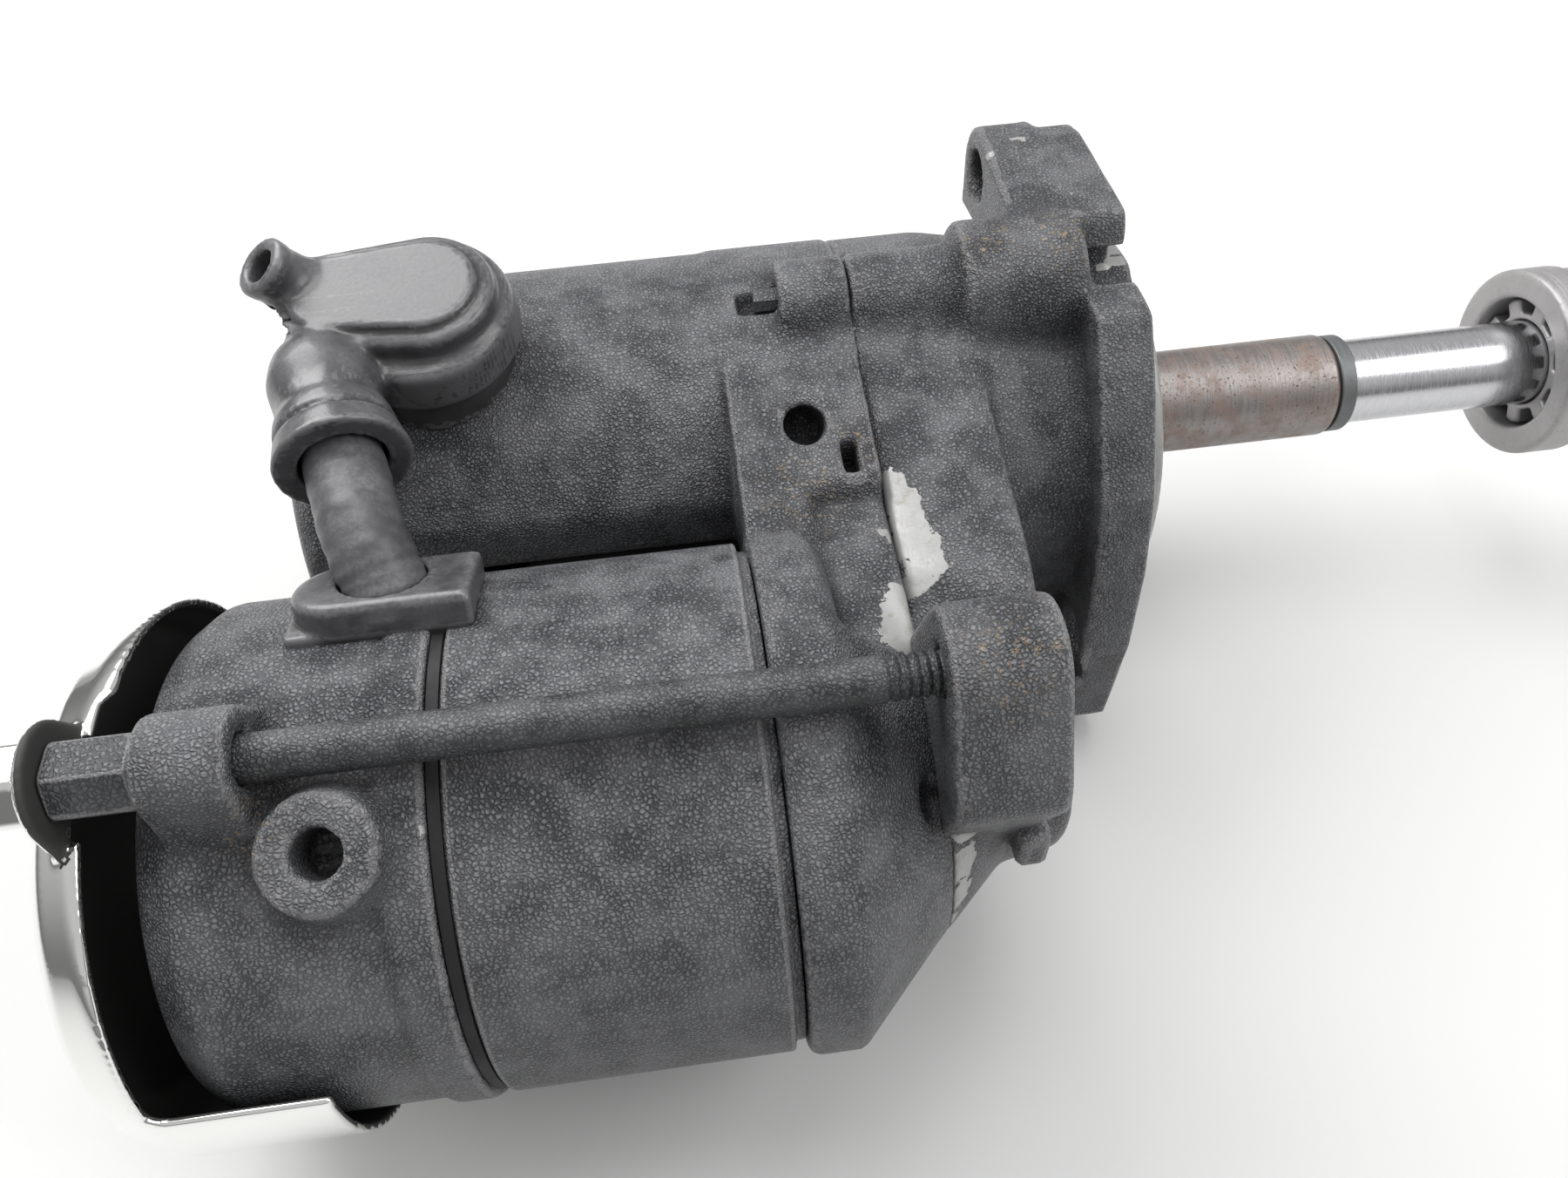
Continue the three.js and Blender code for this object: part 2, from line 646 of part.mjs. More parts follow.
function driveHousing() {
  const rear = seamX + 0.1;
  const cone = turned([
    [rear, 0], [rear, yokeRadius - 13], [seamX + 10, 15.5], [seamX + 19, 14], [seamX + 20.5, 12],
    [seamX + 20.5, 0],
  ], motorY, 0);
  const web = prism(hull([
    ...circlePoints(motorY, 0, 12.5), ...circlePoints(idlerY, 0, idlerPitch + 5.9),
    ...circlePoints(0, 0, barrelRadius - 2),
  ]), rear, seamX + 20);
  const body = turned([
    [rear, 0], [rear, barrelRadius], [seamX + 16, barrelRadius], [-flangeThickness - 5, pilotRadius],
    [-4, pilotRadius], [-4, 0],
  ]);
  const flange = prism(driveFlangeOutline(), -flangeThickness, 0);
  const pilot = turned([
    [-1, 0], [-1, pilotRadius], [3.2, pilotRadius], [4, pilotRadius - 0.8], [4, 0],
  ]);
  const root = atFlange([[-1, 44], [-6.5, 33], [33, 26], [12, 30]]);
  const earOutline = hull([...circlePoints(...earCentre, 8.4), ...root]);
  const ear = prism(earOutline, -2 * flangeThickness, -flangeThickness + 1);
  const ridge = ridgeAt(rear, seamX + 19, 7.4);
  const bigBoss = ridgeAt(seamX + 18, -7.6, 10.8);
  const lowRidge = rod(rear, -5, 7.4, ...screwCentres[1]);
  const rodBosses = boltCentres.map(([y, z], i) => {
    const side = i === 0 ? 1 : -1;
    return prism(hull([
      ...circlePoints(y, z, boltRadius + 5.4), ...circlePoints(y - 7.5 * side, z - 11 * side, 7.2),
      ...circlePoints(motorY, 0, 12), ...circlePoints(y + 8 * side, z - 16 * side, 8),
    ]), i === 0 ? seamX - 1.6 : rear, seamX + 13);
  });
  const coneRelief = turned([
    [seamX - 4, 0], [seamX - 4, yokeRadius - 8], [rear, yokeRadius - 12.6], [rear, 0],
  ], motorY, 0);
  const webRelief = prism(hull([
    ...circlePoints(motorY, 0, yokeRadius - 12.6), ...circlePoints(0, 0, barrelRadius + 0.4),
  ]), seamX - 4, rear);
  const foot = box(seamX + 10, seamX + 14.5, motorY - 20, motorY - 8, 4, 12);
  const outside = unite(cut(unite(...rodBosses), coneRelief, webRelief), cone, web, body, flange,
    pilot, ear, ridge, bigBoss, lowRidge, foot);
  const gearSpace = rod(seamX - 1, seamX + 17, clutchPitch + 3.3);
  const idlerSpace = prism(hull([
    ...circlePoints(idlerY, idlerZ, idlerPitch + 2), ...circlePoints(motorY, 0, armaturePitch + 1.3),
  ]), seamX - 1, seamX + 2.5);
  const pinHole = rod(seamX, seamX + 4.4, 4 + fit, idlerY, idlerZ);
  const seat = rod(seamX + 14, -flangeThickness - 1, tubeRadius + 8.6);
  const bore = rod(-flangeThickness - 3, 6, tubeRadius + 0.6 + 1.3);
  const sealSeat = rod(-2, 6, tubeRadius + 4);
  const earHole = rod(-20, 2, 4.6, ...earCentre);
  const mountHole = rod(-14, 2, 4.6, ...mountCentre);
  const spotFace = rod(-16, -7.5, 8.4, ...mountCentre);
  const boltHoles = boltCentres.map(([y, z]) => rod(seamX - 4, seamX + 11, boltRadius + fit, y, z));
  const screws = screwCentres.map(([y, z]) => rod(seamX - 1, seamX + 26, 2.2 + fit, y, z));
  const headHoles = screwCentres.map(([y, z]) => rod(seamX + 25.6, 5, 4.6, y, z));
  return cut(outside, gearSpace, idlerSpace, pinHole, seat, bore, sealSeat, earHole, mountHole,
    spotFace, ...boltHoles, ...screws, ...headHoles);
}

function housingScrew(y, z) {
  const shank = rod(seamX - 15.4, seamX + 26, 2.2, y, z);
  return unite(shank, rod(seamX + 25.8, seamX + 30, 4.2, y, z));
}

function shaftSeal() {
  return ring(-1.6, 3.4, tubeRadius + 3.8, tubeRadius + 0.3);
}

// ---- solenoid ----

function solenoidCover() {
  const x = barrelRearX;
  const r = barrelRadius;
  const cap = turned([
    [x - 8, 0], [x - 8, r - 7], [x - 6.5, r - 3], [x - 4, r - 1], [x - 0.2, r - 0.6],
    [x - 0.2, r - 5], [x + 3, r - 5.2], [x + 3, r - 8], [x - 4.5, r - 8], [x - 4.5, 0],
  ]);
  const centres = solenoidScrewAngles.map((angle) => polar(barrelRadius - 13, angle));
  const ears = centres.map(([y, z]) => rod(x - 5, x + 1, 5, y, z));
  const holes = centres.map(([y, z]) => rod(x - 14, x + 11, 2.2, y, z));
  return cut(unite(cut(cap, barrelFlat(x - 14, x + 11)), ...ears), ...holes);
}

function coverScrew(angle) {
  const [y, z] = polar(barrelRadius - 13, angle);
  const x = barrelRearX;
  return unite(rod(x - 11, x - 8.1, 4, y, z), rod(x - 8.2, x + 3, 2, y, z));
}

// Point at a given height over the barrel, as seen along the drum or the small stud.
function overBarrel(x, height, angle) {
  return [x, ...polar(barrelRadius + height, angle)];
}

function onDrum(low, high, radius, endRadius = radius, sides = facets(radius)) {
  const [start, end] = [low, high].map((height) => overBarrel(drumX, height, drumAngle));
  return strut(start, end, radius, endRadius, sides);
}

function onStud(low, high, radius) {
  const [start, end] = [low, high].map((height) => overBarrel(motorStudX, height, motorStudAngle));
  return strut(start, end, radius);
}

function terminalBase() {
  const aboveBarrel = rod(barrelRearX - 20, barrelRearX + 40, barrelRadius + 0.25);
  const solidBase = unite(
    cut(unite(onDrum(-7, 9.6, drumRadius, drumRadius - 0.6), onStud(-7, 4.6, 6.4)), aboveBarrel),
    onDrum(-6, 4, 6.7), onStud(-4, 3, 3.1));
  return cut(solidBase, onDrum(-16, 24, 4 + fit), onStud(-16, 24, 2 + fit), onStud(4.6, 24, 4.4));
}

function batteryStud() {
  const contact = box(barrelRearX + 23.3, barrelRearX + 26, -8, -1, plungerRadius + 3.2, barrelRadius - 9);
  return unite(onDrum(-13.5, -7.5, 6), contact, onDrum(-9, 14.8, 4));
}

function motorStud() {
  return onStud(-9.5, 10.6, 2);
}

function hexNut(x, angle, base, height, radius, bore) {
  const nut = strut([x, ...polar(base, angle)], [x, ...polar(base + height, angle)], radius, radius, 6);
  return cut(nut, strut([x, ...polar(base - 1, angle)], [x, ...polar(base + height + 1, angle)], bore));
}

function solenoidCoil() {
  return ring(barrelRearX + 28, yokeFrontX + 0.4, chamberRadius - 0.3, plungerRadius + 0.6);
}

function plunger() {
  const front = seamX - 13.6;
  return turned([
    [barrelRearX + 5, 0], [barrelRearX + 5, 4], [barrelRearX + 11.4, 4],
    [barrelRearX + 11.4, plungerRadius], [front - 26.4, plungerRadius], [front - 22.4, 7],
    [front - 22.4, 4], [front, 4], [front, 0],
  ]);
}

function contactDisc() {
  return ring(barrelRearX + 8.6, barrelRearX + 10.8, barrelRadius - 15.5, 4 + fit);
}

function steelBall() {
  return ball([seamX - 9.8, 0, 0], 3.6);
}

// ---- rubber parts and lead ----

function terminalBoot() {
  const x = motorStudX;
  const top = bootTop - barrelRadius;
  const [small, large] = [leadRadius + 1.7, leadRadius + 4.1];
  const wall = onDrum(4.6, top - 5, drumRadius + 1.6, drumRadius + 1);
  const upright = (along, low, high, radius, endRadius) => strut(
    overBarrel(along, low, drumAngle), overBarrel(along, high, drumAngle), radius, endRadius);
  const cap = upright(drumX + 1.5, top - 6, top, drumRadius - 2.4, drumRadius - 3.2);
  const capLeft = upright(x + 1.8, top - 8, top, 9.4, 8.6);
  const bridge = strut(overBarrel(x + 1.4, top - 4.4, drumAngle),
    overBarrel(drumX + 2.5, top - 4.4, drumAngle), 8.8, 8.8, 8);
  const nozzle = strut(overBarrel(x - 2.6, 10.2, 99.4), overBarrel(x - 9.2, 18.6, 94.6), 4.8, 4.3);
  const dome = ball(overBarrel(x - 1, 13, 115.1), small);
  const onLead = (t) => leadCurve().getPoint(t).toArray();
  const neck = strut(overBarrel(x - 1, 12.4, 115), onLead(0.14), small, small + 0.6);
  const skirt = strut(onLead(0.06), onLead(0.24), small + 0.6, large);
  const outer = unite(wall, cap, capLeft, bridge, nozzle, dome, neck, skirt);
  const drumSpace = onDrum(0, top - 6.4, drumRadius + 0.3);
  const studSpace = onDrum(top - 7, top - 1.8, 7.8, 7.8, 12);
  const lugSpace = strut(overBarrel(x + 0.4, top - 5.6, drumAngle),
    overBarrel(drumX + 0.5, top - 5.4, drumAngle), 3.6);
  const mouth = strut(overBarrel(x - 2, 9, 100.1), overBarrel(x - 11.8, 22.2, 93.2), 2.6, 2.6, 12);
  const smallSpace = onStud(-6, 11.6, 6.4);
  const leadSpace = swept(leadCurve(), leadRadius + 0.5, 12, 12);
  const barrelSpace = rod(x - 25, x + 36, barrelRadius + 0.3);
  return cut(outer, drumSpace, studSpace, lugSpace, mouth, smallSpace, leadSpace, barrelSpace);
}

function motorLead() {
  return swept(leadCurve(), leadRadius, 12, 12);
}

function leadGrommet() {
  const corner = leadRadius + 1.3;
  const outline = [];
  for (let i = 0; i <= 10; i += 1) {
    const [x, y] = polar(corner, 90 + 18 * i);
    outline.push([yokeRearX - 11.9 + x, y]);
  }
  outline.push([yokeRearX + 5.5, -corner], [yokeRearX + 6.1, corner]);
  const shape = new THREE.Shape(outline.map(([x, y]) => new THREE.Vector2(x, y)));
  const plate = new THREE.ExtrudeGeometry(shape, { depth: 4.4, bevelEnabled: false });
  const saddle = new THREE.BoxGeometry(24, 13, 3.2);
  plate.translate(0, 0, yokeRadius + 0.1);
  saddle.translate(yokeRearX - 7.5, 0, yokeRadius - 0.8);
  for (const piece of [plate, saddle]) {
    piece.rotateX((leadAngle - 90) * degree);
    piece.translate(0, motorY, 0);
  }
  const under = rod(yokeRearX - 40, yokeRearX + 20, yokeRadius + 0.7, motorY, 0);
  const inside = rod(yokeRearX - 40, yokeRearX + 20, yokeRadius - 1.5, motorY, 0);
  return cut(unite(solid(plate), cut(solid(saddle), inside)), under, leadPassage());
}

// ---- assembly ----

const group = new THREE.Group();
group.name = 'starter_motor';

const toIdler = Math.atan2(idlerZ, idlerY - motorY) / degree;
const idlerToClutch = Math.atan2(-idlerZ, -idlerY) / degree;
// A gap of each follower faces the tooth that points at it.
const armaturePhase = toIdler;
const idlerPhase = toIdler + 180 + 180 / idlerTeeth;
const idlerStep = 360 / idlerTeeth;
const towards = ((idlerToClutch - idlerPhase) % idlerStep) / idlerStep;
const clutchPhase = idlerToClutch + 180 + (360 / clutchTeeth) * (0.5 + towards);

const parts = [
  ['chrome_cover', chromeCover(), 'chrome'],
  ['end_frame', endFrame(), 'paint'],
  ['yoke', yoke(), 'paint'],
  ['rear_joint_seal', jointSeal(yokeRearX), 'rubber'],
  ['gear_housing', gearHousing(), 'paint'],
  ['drive_housing', driveHousing(), 'paint'],
  ['armature_shaft', armatureShaft(), 'steel'],
  ['armature_pinion', armaturePinion(armaturePhase), 'steel'],
  ['armature_core', armatureCore(), 'darkSteel'],
  ['commutator', commutator(), 'copper'],
  ['armature_bearing_rear', bearing(endFrameRearX + 3.6, endFrameRearX + 11.4, 11, 5, motorY), 'steel'],
  ['armature_bearing_front', bearing(yokeFrontX + 0.4, yokeFrontX + 6.7, 13, 5, motorY), 'steel'],
  ['brush_holder', brushHolder(), 'plastic'],
  ['idler_gear', idlerGear(idlerPhase), 'steel'],
  ['idler_bearing', bearing(gearRearX + 0.5, gearFrontX - 0.5, 6, 4, idlerY, idlerZ), 'darkSteel'],
  ['idler_pin', idlerPin(), 'steel'],
  ['clutch_gear', clutchGear(clutchPhase), 'steel'],
  ['clutch_rollers', clutchRollers(), 'darkSteel'],
  ['clutch_bearing_front', clutchBearing(), 'steel'],
  ['output_tube', outputTube(), 'darkSteel'],
  ['tube_end_ring', tubeEndRing(), 'darkSteel'],
  ['drive_shaft', driveShaft(), 'steel'],
  ['spring_collar', springCollar(), 'steel'],
  ['return_spring', returnSpring(), 'darkSteel'],
  ['spline_hub', splineHub(), 'darkSteel'],
  ['pinion', pinion(), 'steel'],
  ['pinion_nut', pinionNut(), 'darkSteel'],
  ['shaft_seal', shaftSeal(), 'rubber'],
  ['solenoid_cover', solenoidCover(), 'paint'],
  ['terminal_base', terminalBase(), 'plastic'],
  ['battery_stud', batteryStud(), 'copper'],
  ['battery_nut', hexNut(drumX, drumAngle, barrelRadius + 10.4, 3.6, 7, 4 + fit), 'steel'],
  ['motor_stud', motorStud(), 'copper'],
  ['motor_nut', hexNut(motorStudX, motorStudAngle, barrelRadius + 5, 3, 3.6, 2 + fit), 'steel'],
  ['solenoid_coil', solenoidCoil(), 'copper'],
  ['plunger', plunger(), 'steel'],
  ['contact_disc', contactDisc(), 'copper'],
  ['steel_ball', steelBall(), 'steel'],
  ['terminal_boot', terminalBoot(), 'rubber'],
  ['motor_lead', motorLead(), 'rubber'],
  ['lead_grommet', leadGrommet(), 'rubber'],
];
boltCentres.forEach(([y, z], i) => {
  parts.push([`through_bolt_${i + 1}`, throughBolt(y, z), 'paint']);
  parts.push([`standoff_${i + 1}`, standoff(y, z), 'paint']);
  parts.push([`cover_nut_${i + 1}`, acornNut(y, z), 'aluminium']);
});
screwCentres.forEach(([y, z], i) => {
  parts.push([`housing_screw_${i + 1}`, housingScrew(y, z), 'paint']);
});
solenoidScrewAngles.forEach((angle, i) => {
  parts.push([`solenoid_screw_${i + 1}`, coverScrew(angle), 'steel']);
});
quarterAngles.forEach((angle, i) => {
  parts.push([`pole_shoe_${i + 1}`, poleShoe(angle), 'darkSteel']);
});
quarterAngles.forEach((angle, i) => {
  parts.push([`brush_${i + 1}`, brush(angle), 'carbon']);
});

for (const [name, body, look] of parts) group.add(mesh(name, body, look));

export default group;
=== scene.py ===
"""Looks of a gear-reduction starter motor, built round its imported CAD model.

Surfaces are worked out with numpy in millimetres and stored in metres.  Castings and rubber
parts start as signed distances on a regular block of points, joined with soft blends, and are
then skinned with one closed quad net.  Turned parts are profiles swept about an axis.
"""
import logging
from dataclasses import dataclass, field
from enum import Enum

import bpy
import numpy as np
from mathutils import Matrix, Vector


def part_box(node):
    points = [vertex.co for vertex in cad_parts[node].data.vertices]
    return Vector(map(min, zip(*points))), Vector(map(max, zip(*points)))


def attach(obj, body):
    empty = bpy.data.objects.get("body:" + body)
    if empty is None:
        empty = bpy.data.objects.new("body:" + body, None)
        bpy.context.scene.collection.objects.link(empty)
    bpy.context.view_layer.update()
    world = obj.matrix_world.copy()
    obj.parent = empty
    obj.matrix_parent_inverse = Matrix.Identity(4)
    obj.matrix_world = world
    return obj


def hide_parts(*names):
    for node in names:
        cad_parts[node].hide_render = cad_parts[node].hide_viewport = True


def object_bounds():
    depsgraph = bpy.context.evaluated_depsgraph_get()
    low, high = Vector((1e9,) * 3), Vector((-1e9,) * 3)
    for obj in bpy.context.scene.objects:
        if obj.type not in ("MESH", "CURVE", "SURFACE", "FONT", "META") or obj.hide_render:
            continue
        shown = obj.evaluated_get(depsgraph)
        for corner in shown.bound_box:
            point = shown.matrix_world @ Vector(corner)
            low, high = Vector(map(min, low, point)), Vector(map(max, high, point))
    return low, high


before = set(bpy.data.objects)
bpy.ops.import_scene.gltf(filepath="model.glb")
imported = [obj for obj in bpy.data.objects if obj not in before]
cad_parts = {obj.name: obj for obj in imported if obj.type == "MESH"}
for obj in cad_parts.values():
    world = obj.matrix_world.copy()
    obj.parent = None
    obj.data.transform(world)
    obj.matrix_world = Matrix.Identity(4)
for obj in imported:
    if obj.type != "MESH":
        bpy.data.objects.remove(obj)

CAD_BOX = [list(corner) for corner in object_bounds()]
LOG = logging.getLogger("starter")


def axis_of(node: str, digits: int = 2) -> tuple[float, float]:
    """Place (y, z) of a CAD node's axis along X in millimetres: the middle of its box."""
    low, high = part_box(node)
    return tuple(round(500.0 * (low[k] + high[k]), digits) for k in (1, 2))


MOTOR_Y = axis_of("yoke")[0]
BOLTS = [axis_of("through_bolt_1"), axis_of("through_bolt_2")]
IDLER = axis_of("idler_bearing", 3)
SCREWS = [(-2.77, 35.99), (22.01, -27.98)]      # housing screws, as (y, z)
RIDGE = (34.5, 94.0)                            # upper screw ridge, as radius and degrees
EAR = (25.3, 36.5)                              # mounting hole of the upper ear, as (y, z)
MOUNT = (-35.0, -23.0)                          # mounting hole of the lower side, as (y, z)
BATTERY = (-112.5, 101.0)                       # battery terminal, as x and degrees
MOTOR_STUD = (-125.4, 113.0)                     # motor terminal, as x and degrees
GROUND = (-122.6, 120.0)                        # ground boss of the end frame, as x and degrees
GROMMET = 65.0                                  # where the lead enters, in degrees
LEAD_BORE = 6.2
PITCH = 1.25                                    # of every thread that shows


class Mark(Enum):
    """Names of the point attributes that finishes read."""

    EDGE = "edge"
    HOLLOW = "hollow"
    CHIP = "chip"
    DIRT = "dirt"
    SHADE_AND_REFLECTION = "shade_and_reflection"


class Slot(Enum):
    """Material slots of the record, named for each new piece."""

    PAINT = "paint"
    CHROME = "chrome"
    STEEL = "steel"
    DARK_STEEL = "dark_steel"
    RUBBER = "rubber"
    PLASTIC = "plastic"


# ---------------------------------------------------------------- plan shapes

def polar(radius: float, angle: float, y: float = 0.0, z: float = 0.0) -> tuple[float, float]:
    """Point at a radius and an angle in degrees from +Y towards +Z about (y, z)."""
    turn = np.radians(angle)
    return (y + radius * np.cos(turn), z + radius * np.sin(turn))


def circle(y: float, z: float, radius: float, count: int = 40, phase: float = 0.0) -> np.ndarray:
    """Points of a circle as rows of (y, z)."""
    turn = np.linspace(0, 2 * np.pi, count, endpoint=False) + np.radians(phase)
    return np.stack([y + radius * np.cos(turn), z + radius * np.sin(turn)], 1)


def hull(*sets: np.ndarray) -> np.ndarray:
    """Convex outline round several sets of points.

    Args:
        sets: arrays of (y, z) rows.
    Returns:
        The corners in counterclockwise order.
    """
    points = sorted({(round(float(a), 5), round(float(b), 5)) for a, b in np.concatenate(sets)})

    def chain(rows: list) -> list:
        """One side of the outline, turning left all the way."""
        kept: list = []
        for p in rows:
            while len(kept) > 1 and ((kept[-1][0] - kept[-2][0]) * (p[1] - kept[-2][1])
                                     - (kept[-1][1] - kept[-2][1]) * (p[0] - kept[-2][0])) <= 1e-9:
                kept.pop()
            kept.append(p)
        return kept[:-1]

    return np.array(chain(points) + chain(points[::-1]))


def gear(teeth: int, root: float, tip: float, low: float, high: float) -> np.ndarray:
    """Toothed outline: each tooth is low degrees to either side at its root, high at its tip.

    Args:
        teeth: how many.
        root: radius at the bottom of the gaps.
        tip: radius at the top of the teeth.
        low: half a tooth in degrees at its root.
        high: half a tooth in degrees at its tip.
    Returns:
        Rows of (y, z).
    """
    middle = np.repeat(np.arange(teeth) * 360.0 / teeth, 4)
    turn = np.radians(middle + np.tile([-low, -high, high, low], teeth))
    radius = np.tile([root, tip, tip, root], teeth)
    return np.stack([radius * np.cos(turn), radius * np.sin(turn)], 1)


def thread(x: np.ndarray, crest: float, depth: float = 0.5) -> np.ndarray:
    """Radius along a thread, which falls from the crest by the depth once in each pitch."""
    return crest - depth * np.abs(((x / PITCH) % 1) * 2 - 1)


# ---------------------------------------------------------------- signed distances

def soft_min(a: np.ndarray, b: np.ndarray, blend: float) -> np.ndarray:
    """Union of two distances with a fillet: min(a, b) less blend*h*(1-h), h the blend share.

    Args:
        a: one distance.
        b: the other distance.
        blend: width of the fillet.
    Returns:
        Distances of the union.
    """
    if blend <= 0:
        return np.minimum(a, b)
    share = np.clip(0.5 + 0.5 * (b - a) / blend, 0, 1)
    return b + (a - b) * share - blend * share * (1 - share)


def soft_max(a: np.ndarray, b: np.ndarray, blend: float) -> np.ndarray:
    """Overlap of two distances with a rounded edge."""
    return -soft_min(-a, -b, blend)


def capped(side: np.ndarray, cap: np.ndarray, edge: float) -> np.ndarray:
    """Overlap of a side and its end planes, the edge between them rounded.

    Both are grown by the edge radius, joined as a quarter circle, and shrunk again.
    Args:
        side: distance of the side.
        cap: distance of the end planes.
        edge: radius of the edge.
    Returns:
        Distances of the overlap.
    """
    a, b = side + edge, cap + edge
    return (np.hypot(np.maximum(a, 0), np.maximum(b, 0))
            + np.minimum(np.maximum(a, b), 0) - edge)


class Block:
    """A regular block of points that carries one solid as signed distances."""

    def __init__(self, low: tuple, high: tuple, step: float) -> None:
        """Lays out the points.

        Args:
            low: lowest corner in millimetres.
            high: highest corner in millimetres.
            step: distance between neighbouring points.
        """
        spans = [np.arange(a - 2 * step, b + 3 * step, step, dtype=np.float32)
                 for a, b in zip(low, high)]
        self.step = step
        self.low = np.array([s[0] for s in spans])
        self.x = spans[0][:, None, None]
        self.y = spans[1][None, :, None]
        self.z = spans[2][None, None, :]
        self.solid = np.full([len(s) for s in spans], 99.0, np.float32)
        self.marks: dict[Mark, np.ndarray] = {}

    def around(self, y: float, z: float) -> np.ndarray:
        """Distance from the line along X through (y, z)."""
        return np.hypot(self.y - y, self.z - z)

    def prism(self, plan: np.ndarray, x0: float, x1: float, edge: float = 0.6) -> np.ndarray:
        """Plan distance between two planes across X, with its end edges rounded.

        Args:
            plan: distances of the plan outline, over the points in y and z.
            x0: rear plane.
            x1: front plane.
            edge: radius of the end edges.
        Returns:
            Distances over the block.
        """
        return capped(plan, np.abs(self.x - (x0 + x1) / 2) - (x1 - x0) / 2, edge)

    def rod(self, x0: float, x1: float, radius: float, y: float = 0.0, z: float = 0.0,
            edge: float = 0.6) -> np.ndarray:
        """Round bar along X."""
        return self.prism(self.around(y, z) - radius, x0, x1, edge)

    def outline(self, points: np.ndarray) -> np.ndarray:
        """Exact signed distance of a closed outline, over the points in y and z.

        The distance is the least one to any side; the sign comes from how often a line
        through the point crosses the outline.
        Args:
            points: rows of (y, z).
        Returns:
            Distances over the points in y and z.
        """
        a = np.asarray(points, np.float32)
        b = np.roll(a, -1, 0)
        ay, az, by, bz = (v[:, None, None] for v in (a[:, 0], a[:, 1], b[:, 0], b[:, 1]))
        ey, ez, wy, wz = by - ay, bz - az, self.y - ay, self.z - az
        share = np.clip((wy * ey + wz * ez) / (ey ** 2 + ez ** 2 + 1e-9), 0, 1)
        near = np.hypot(wy - share * ey, wz - share * ez).min(0)
        crossed = ((az <= self.z) != (bz <= self.z)) & (
            self.y < ay + (self.z - az) * ey / np.where(ez == 0, 1e-9, ez))
        inside = crossed.sum(0) % 2 == 1
        return np.where(inside, -near, near)[None]

    def shape(self, points: np.ndarray, x0: float, x1: float, edge: float = 0.6,
              corner: float = 0.0) -> np.ndarray:
        """Prism on an outline, its upright corners rounded by the given radius."""
        return self.prism(self.outline(points) - corner, x0, x1, edge)

    def turned(self, profile: list, y: float = 0.0, z: float = 0.0, edge: float = 0.6,
               smooth: float = 1.2) -> np.ndarray:
        """Turned solid whose radius follows a profile along X.

        Args:
            profile: rows of (x, radius).
            y: place of the axis.
            z: place of the axis.
            edge: radius of the end edges.
            smooth: length over which corners of the profile are averaged.
        Returns:
            Distances over the block, corrected for the slope of the profile.
        """
        xs, rs = np.array(profile, float).T
        fine = np.linspace(xs[0] - 6, xs[-1] + 6, 800)
        line = np.interp(fine, xs, rs)
        width = max(int(smooth / (fine[1] - fine[0])), 1)
        padded = np.pad(line, (width // 2, width - 1 - width // 2), mode="edge")
        line = np.convolve(padded, np.ones(width) / width, mode="valid")
        slope = np.gradient(line, fine)
        radius = np.interp(self.x.ravel(), fine, line)[:, None, None].astype(np.float32)
        lean = 1 / np.sqrt(1 + np.interp(self.x.ravel(), fine, slope) ** 2)
        side = (self.around(y, z) - radius) * lean[:, None, None].astype(np.float32)
        return self.prism(side, xs[0], xs[-1], edge)

    def strut(self, start: tuple, end: tuple, radius: float, end_radius: float | None = None,
              edge: float = 0.5) -> np.ndarray:
        """Straight bar between two points, tapering from one radius to the other.

        Args:
            start: middle of one end.
            end: middle of the other end.
            radius: at the start.
            end_radius: at the end, if it differs.
            edge: radius of the end edges.
        Returns:
            Distances over the block.
        """
        a, b = np.array(start, np.float32), np.array(end, np.float32)
        length = float(np.linalg.norm(b - a))
        u = (b - a) / length
        px, py, pz = self.x - a[0], self.y - a[1], self.z - a[2]
        along = px * u[0] + py * u[1] + pz * u[2]
        away = np.sqrt(np.maximum(px ** 2 + py ** 2 + pz ** 2 - along ** 2, 0))
        last = radius if end_radius is None else end_radius
        side = away - (radius + (last - radius) * np.clip(along / length, 0, 1))
        return capped(side, np.abs(along - length / 2) - length / 2, edge)

    def hexagon(self, x0: float, x1: float, corner: float, crown: float, y: float = 0.0,
                z: float = 0.0, edge: float = 0.8) -> np.ndarray:
        """Six-sided bar along X, its corners turned down to the crown radius."""
        return soft_max(self.shape(circle(y, z, corner, 6), x0, x1, 0.3),
                        self.rod(x0, x1, crown, y, z, edge), 0.2)

    def box(self, low: tuple, high: tuple, edge: float = 0.4) -> np.ndarray:
        """Rounded box between two corners.

        Args:
            low: lowest corner.
            high: highest corner.
            edge: radius of the edges.
        Returns:
            Distances over the block.
        """
        spans = [np.abs(axis - (a + b) / 2) - (b - a) / 2 + edge
                 for axis, a, b in zip((self.x, self.y, self.z), low, high)]
        out = np.sqrt(sum(np.maximum(s, 0) ** 2 for s in spans))
        return out + np.minimum(np.maximum(np.maximum(*spans[:2]), spans[2]), 0) - edge

    def ball(self, centre: tuple, radius: float) -> np.ndarray:
        """Sphere."""
        return np.sqrt((self.x - centre[0]) ** 2 + (self.y - centre[1]) ** 2
                       + (self.z - centre[2]) ** 2) - radius

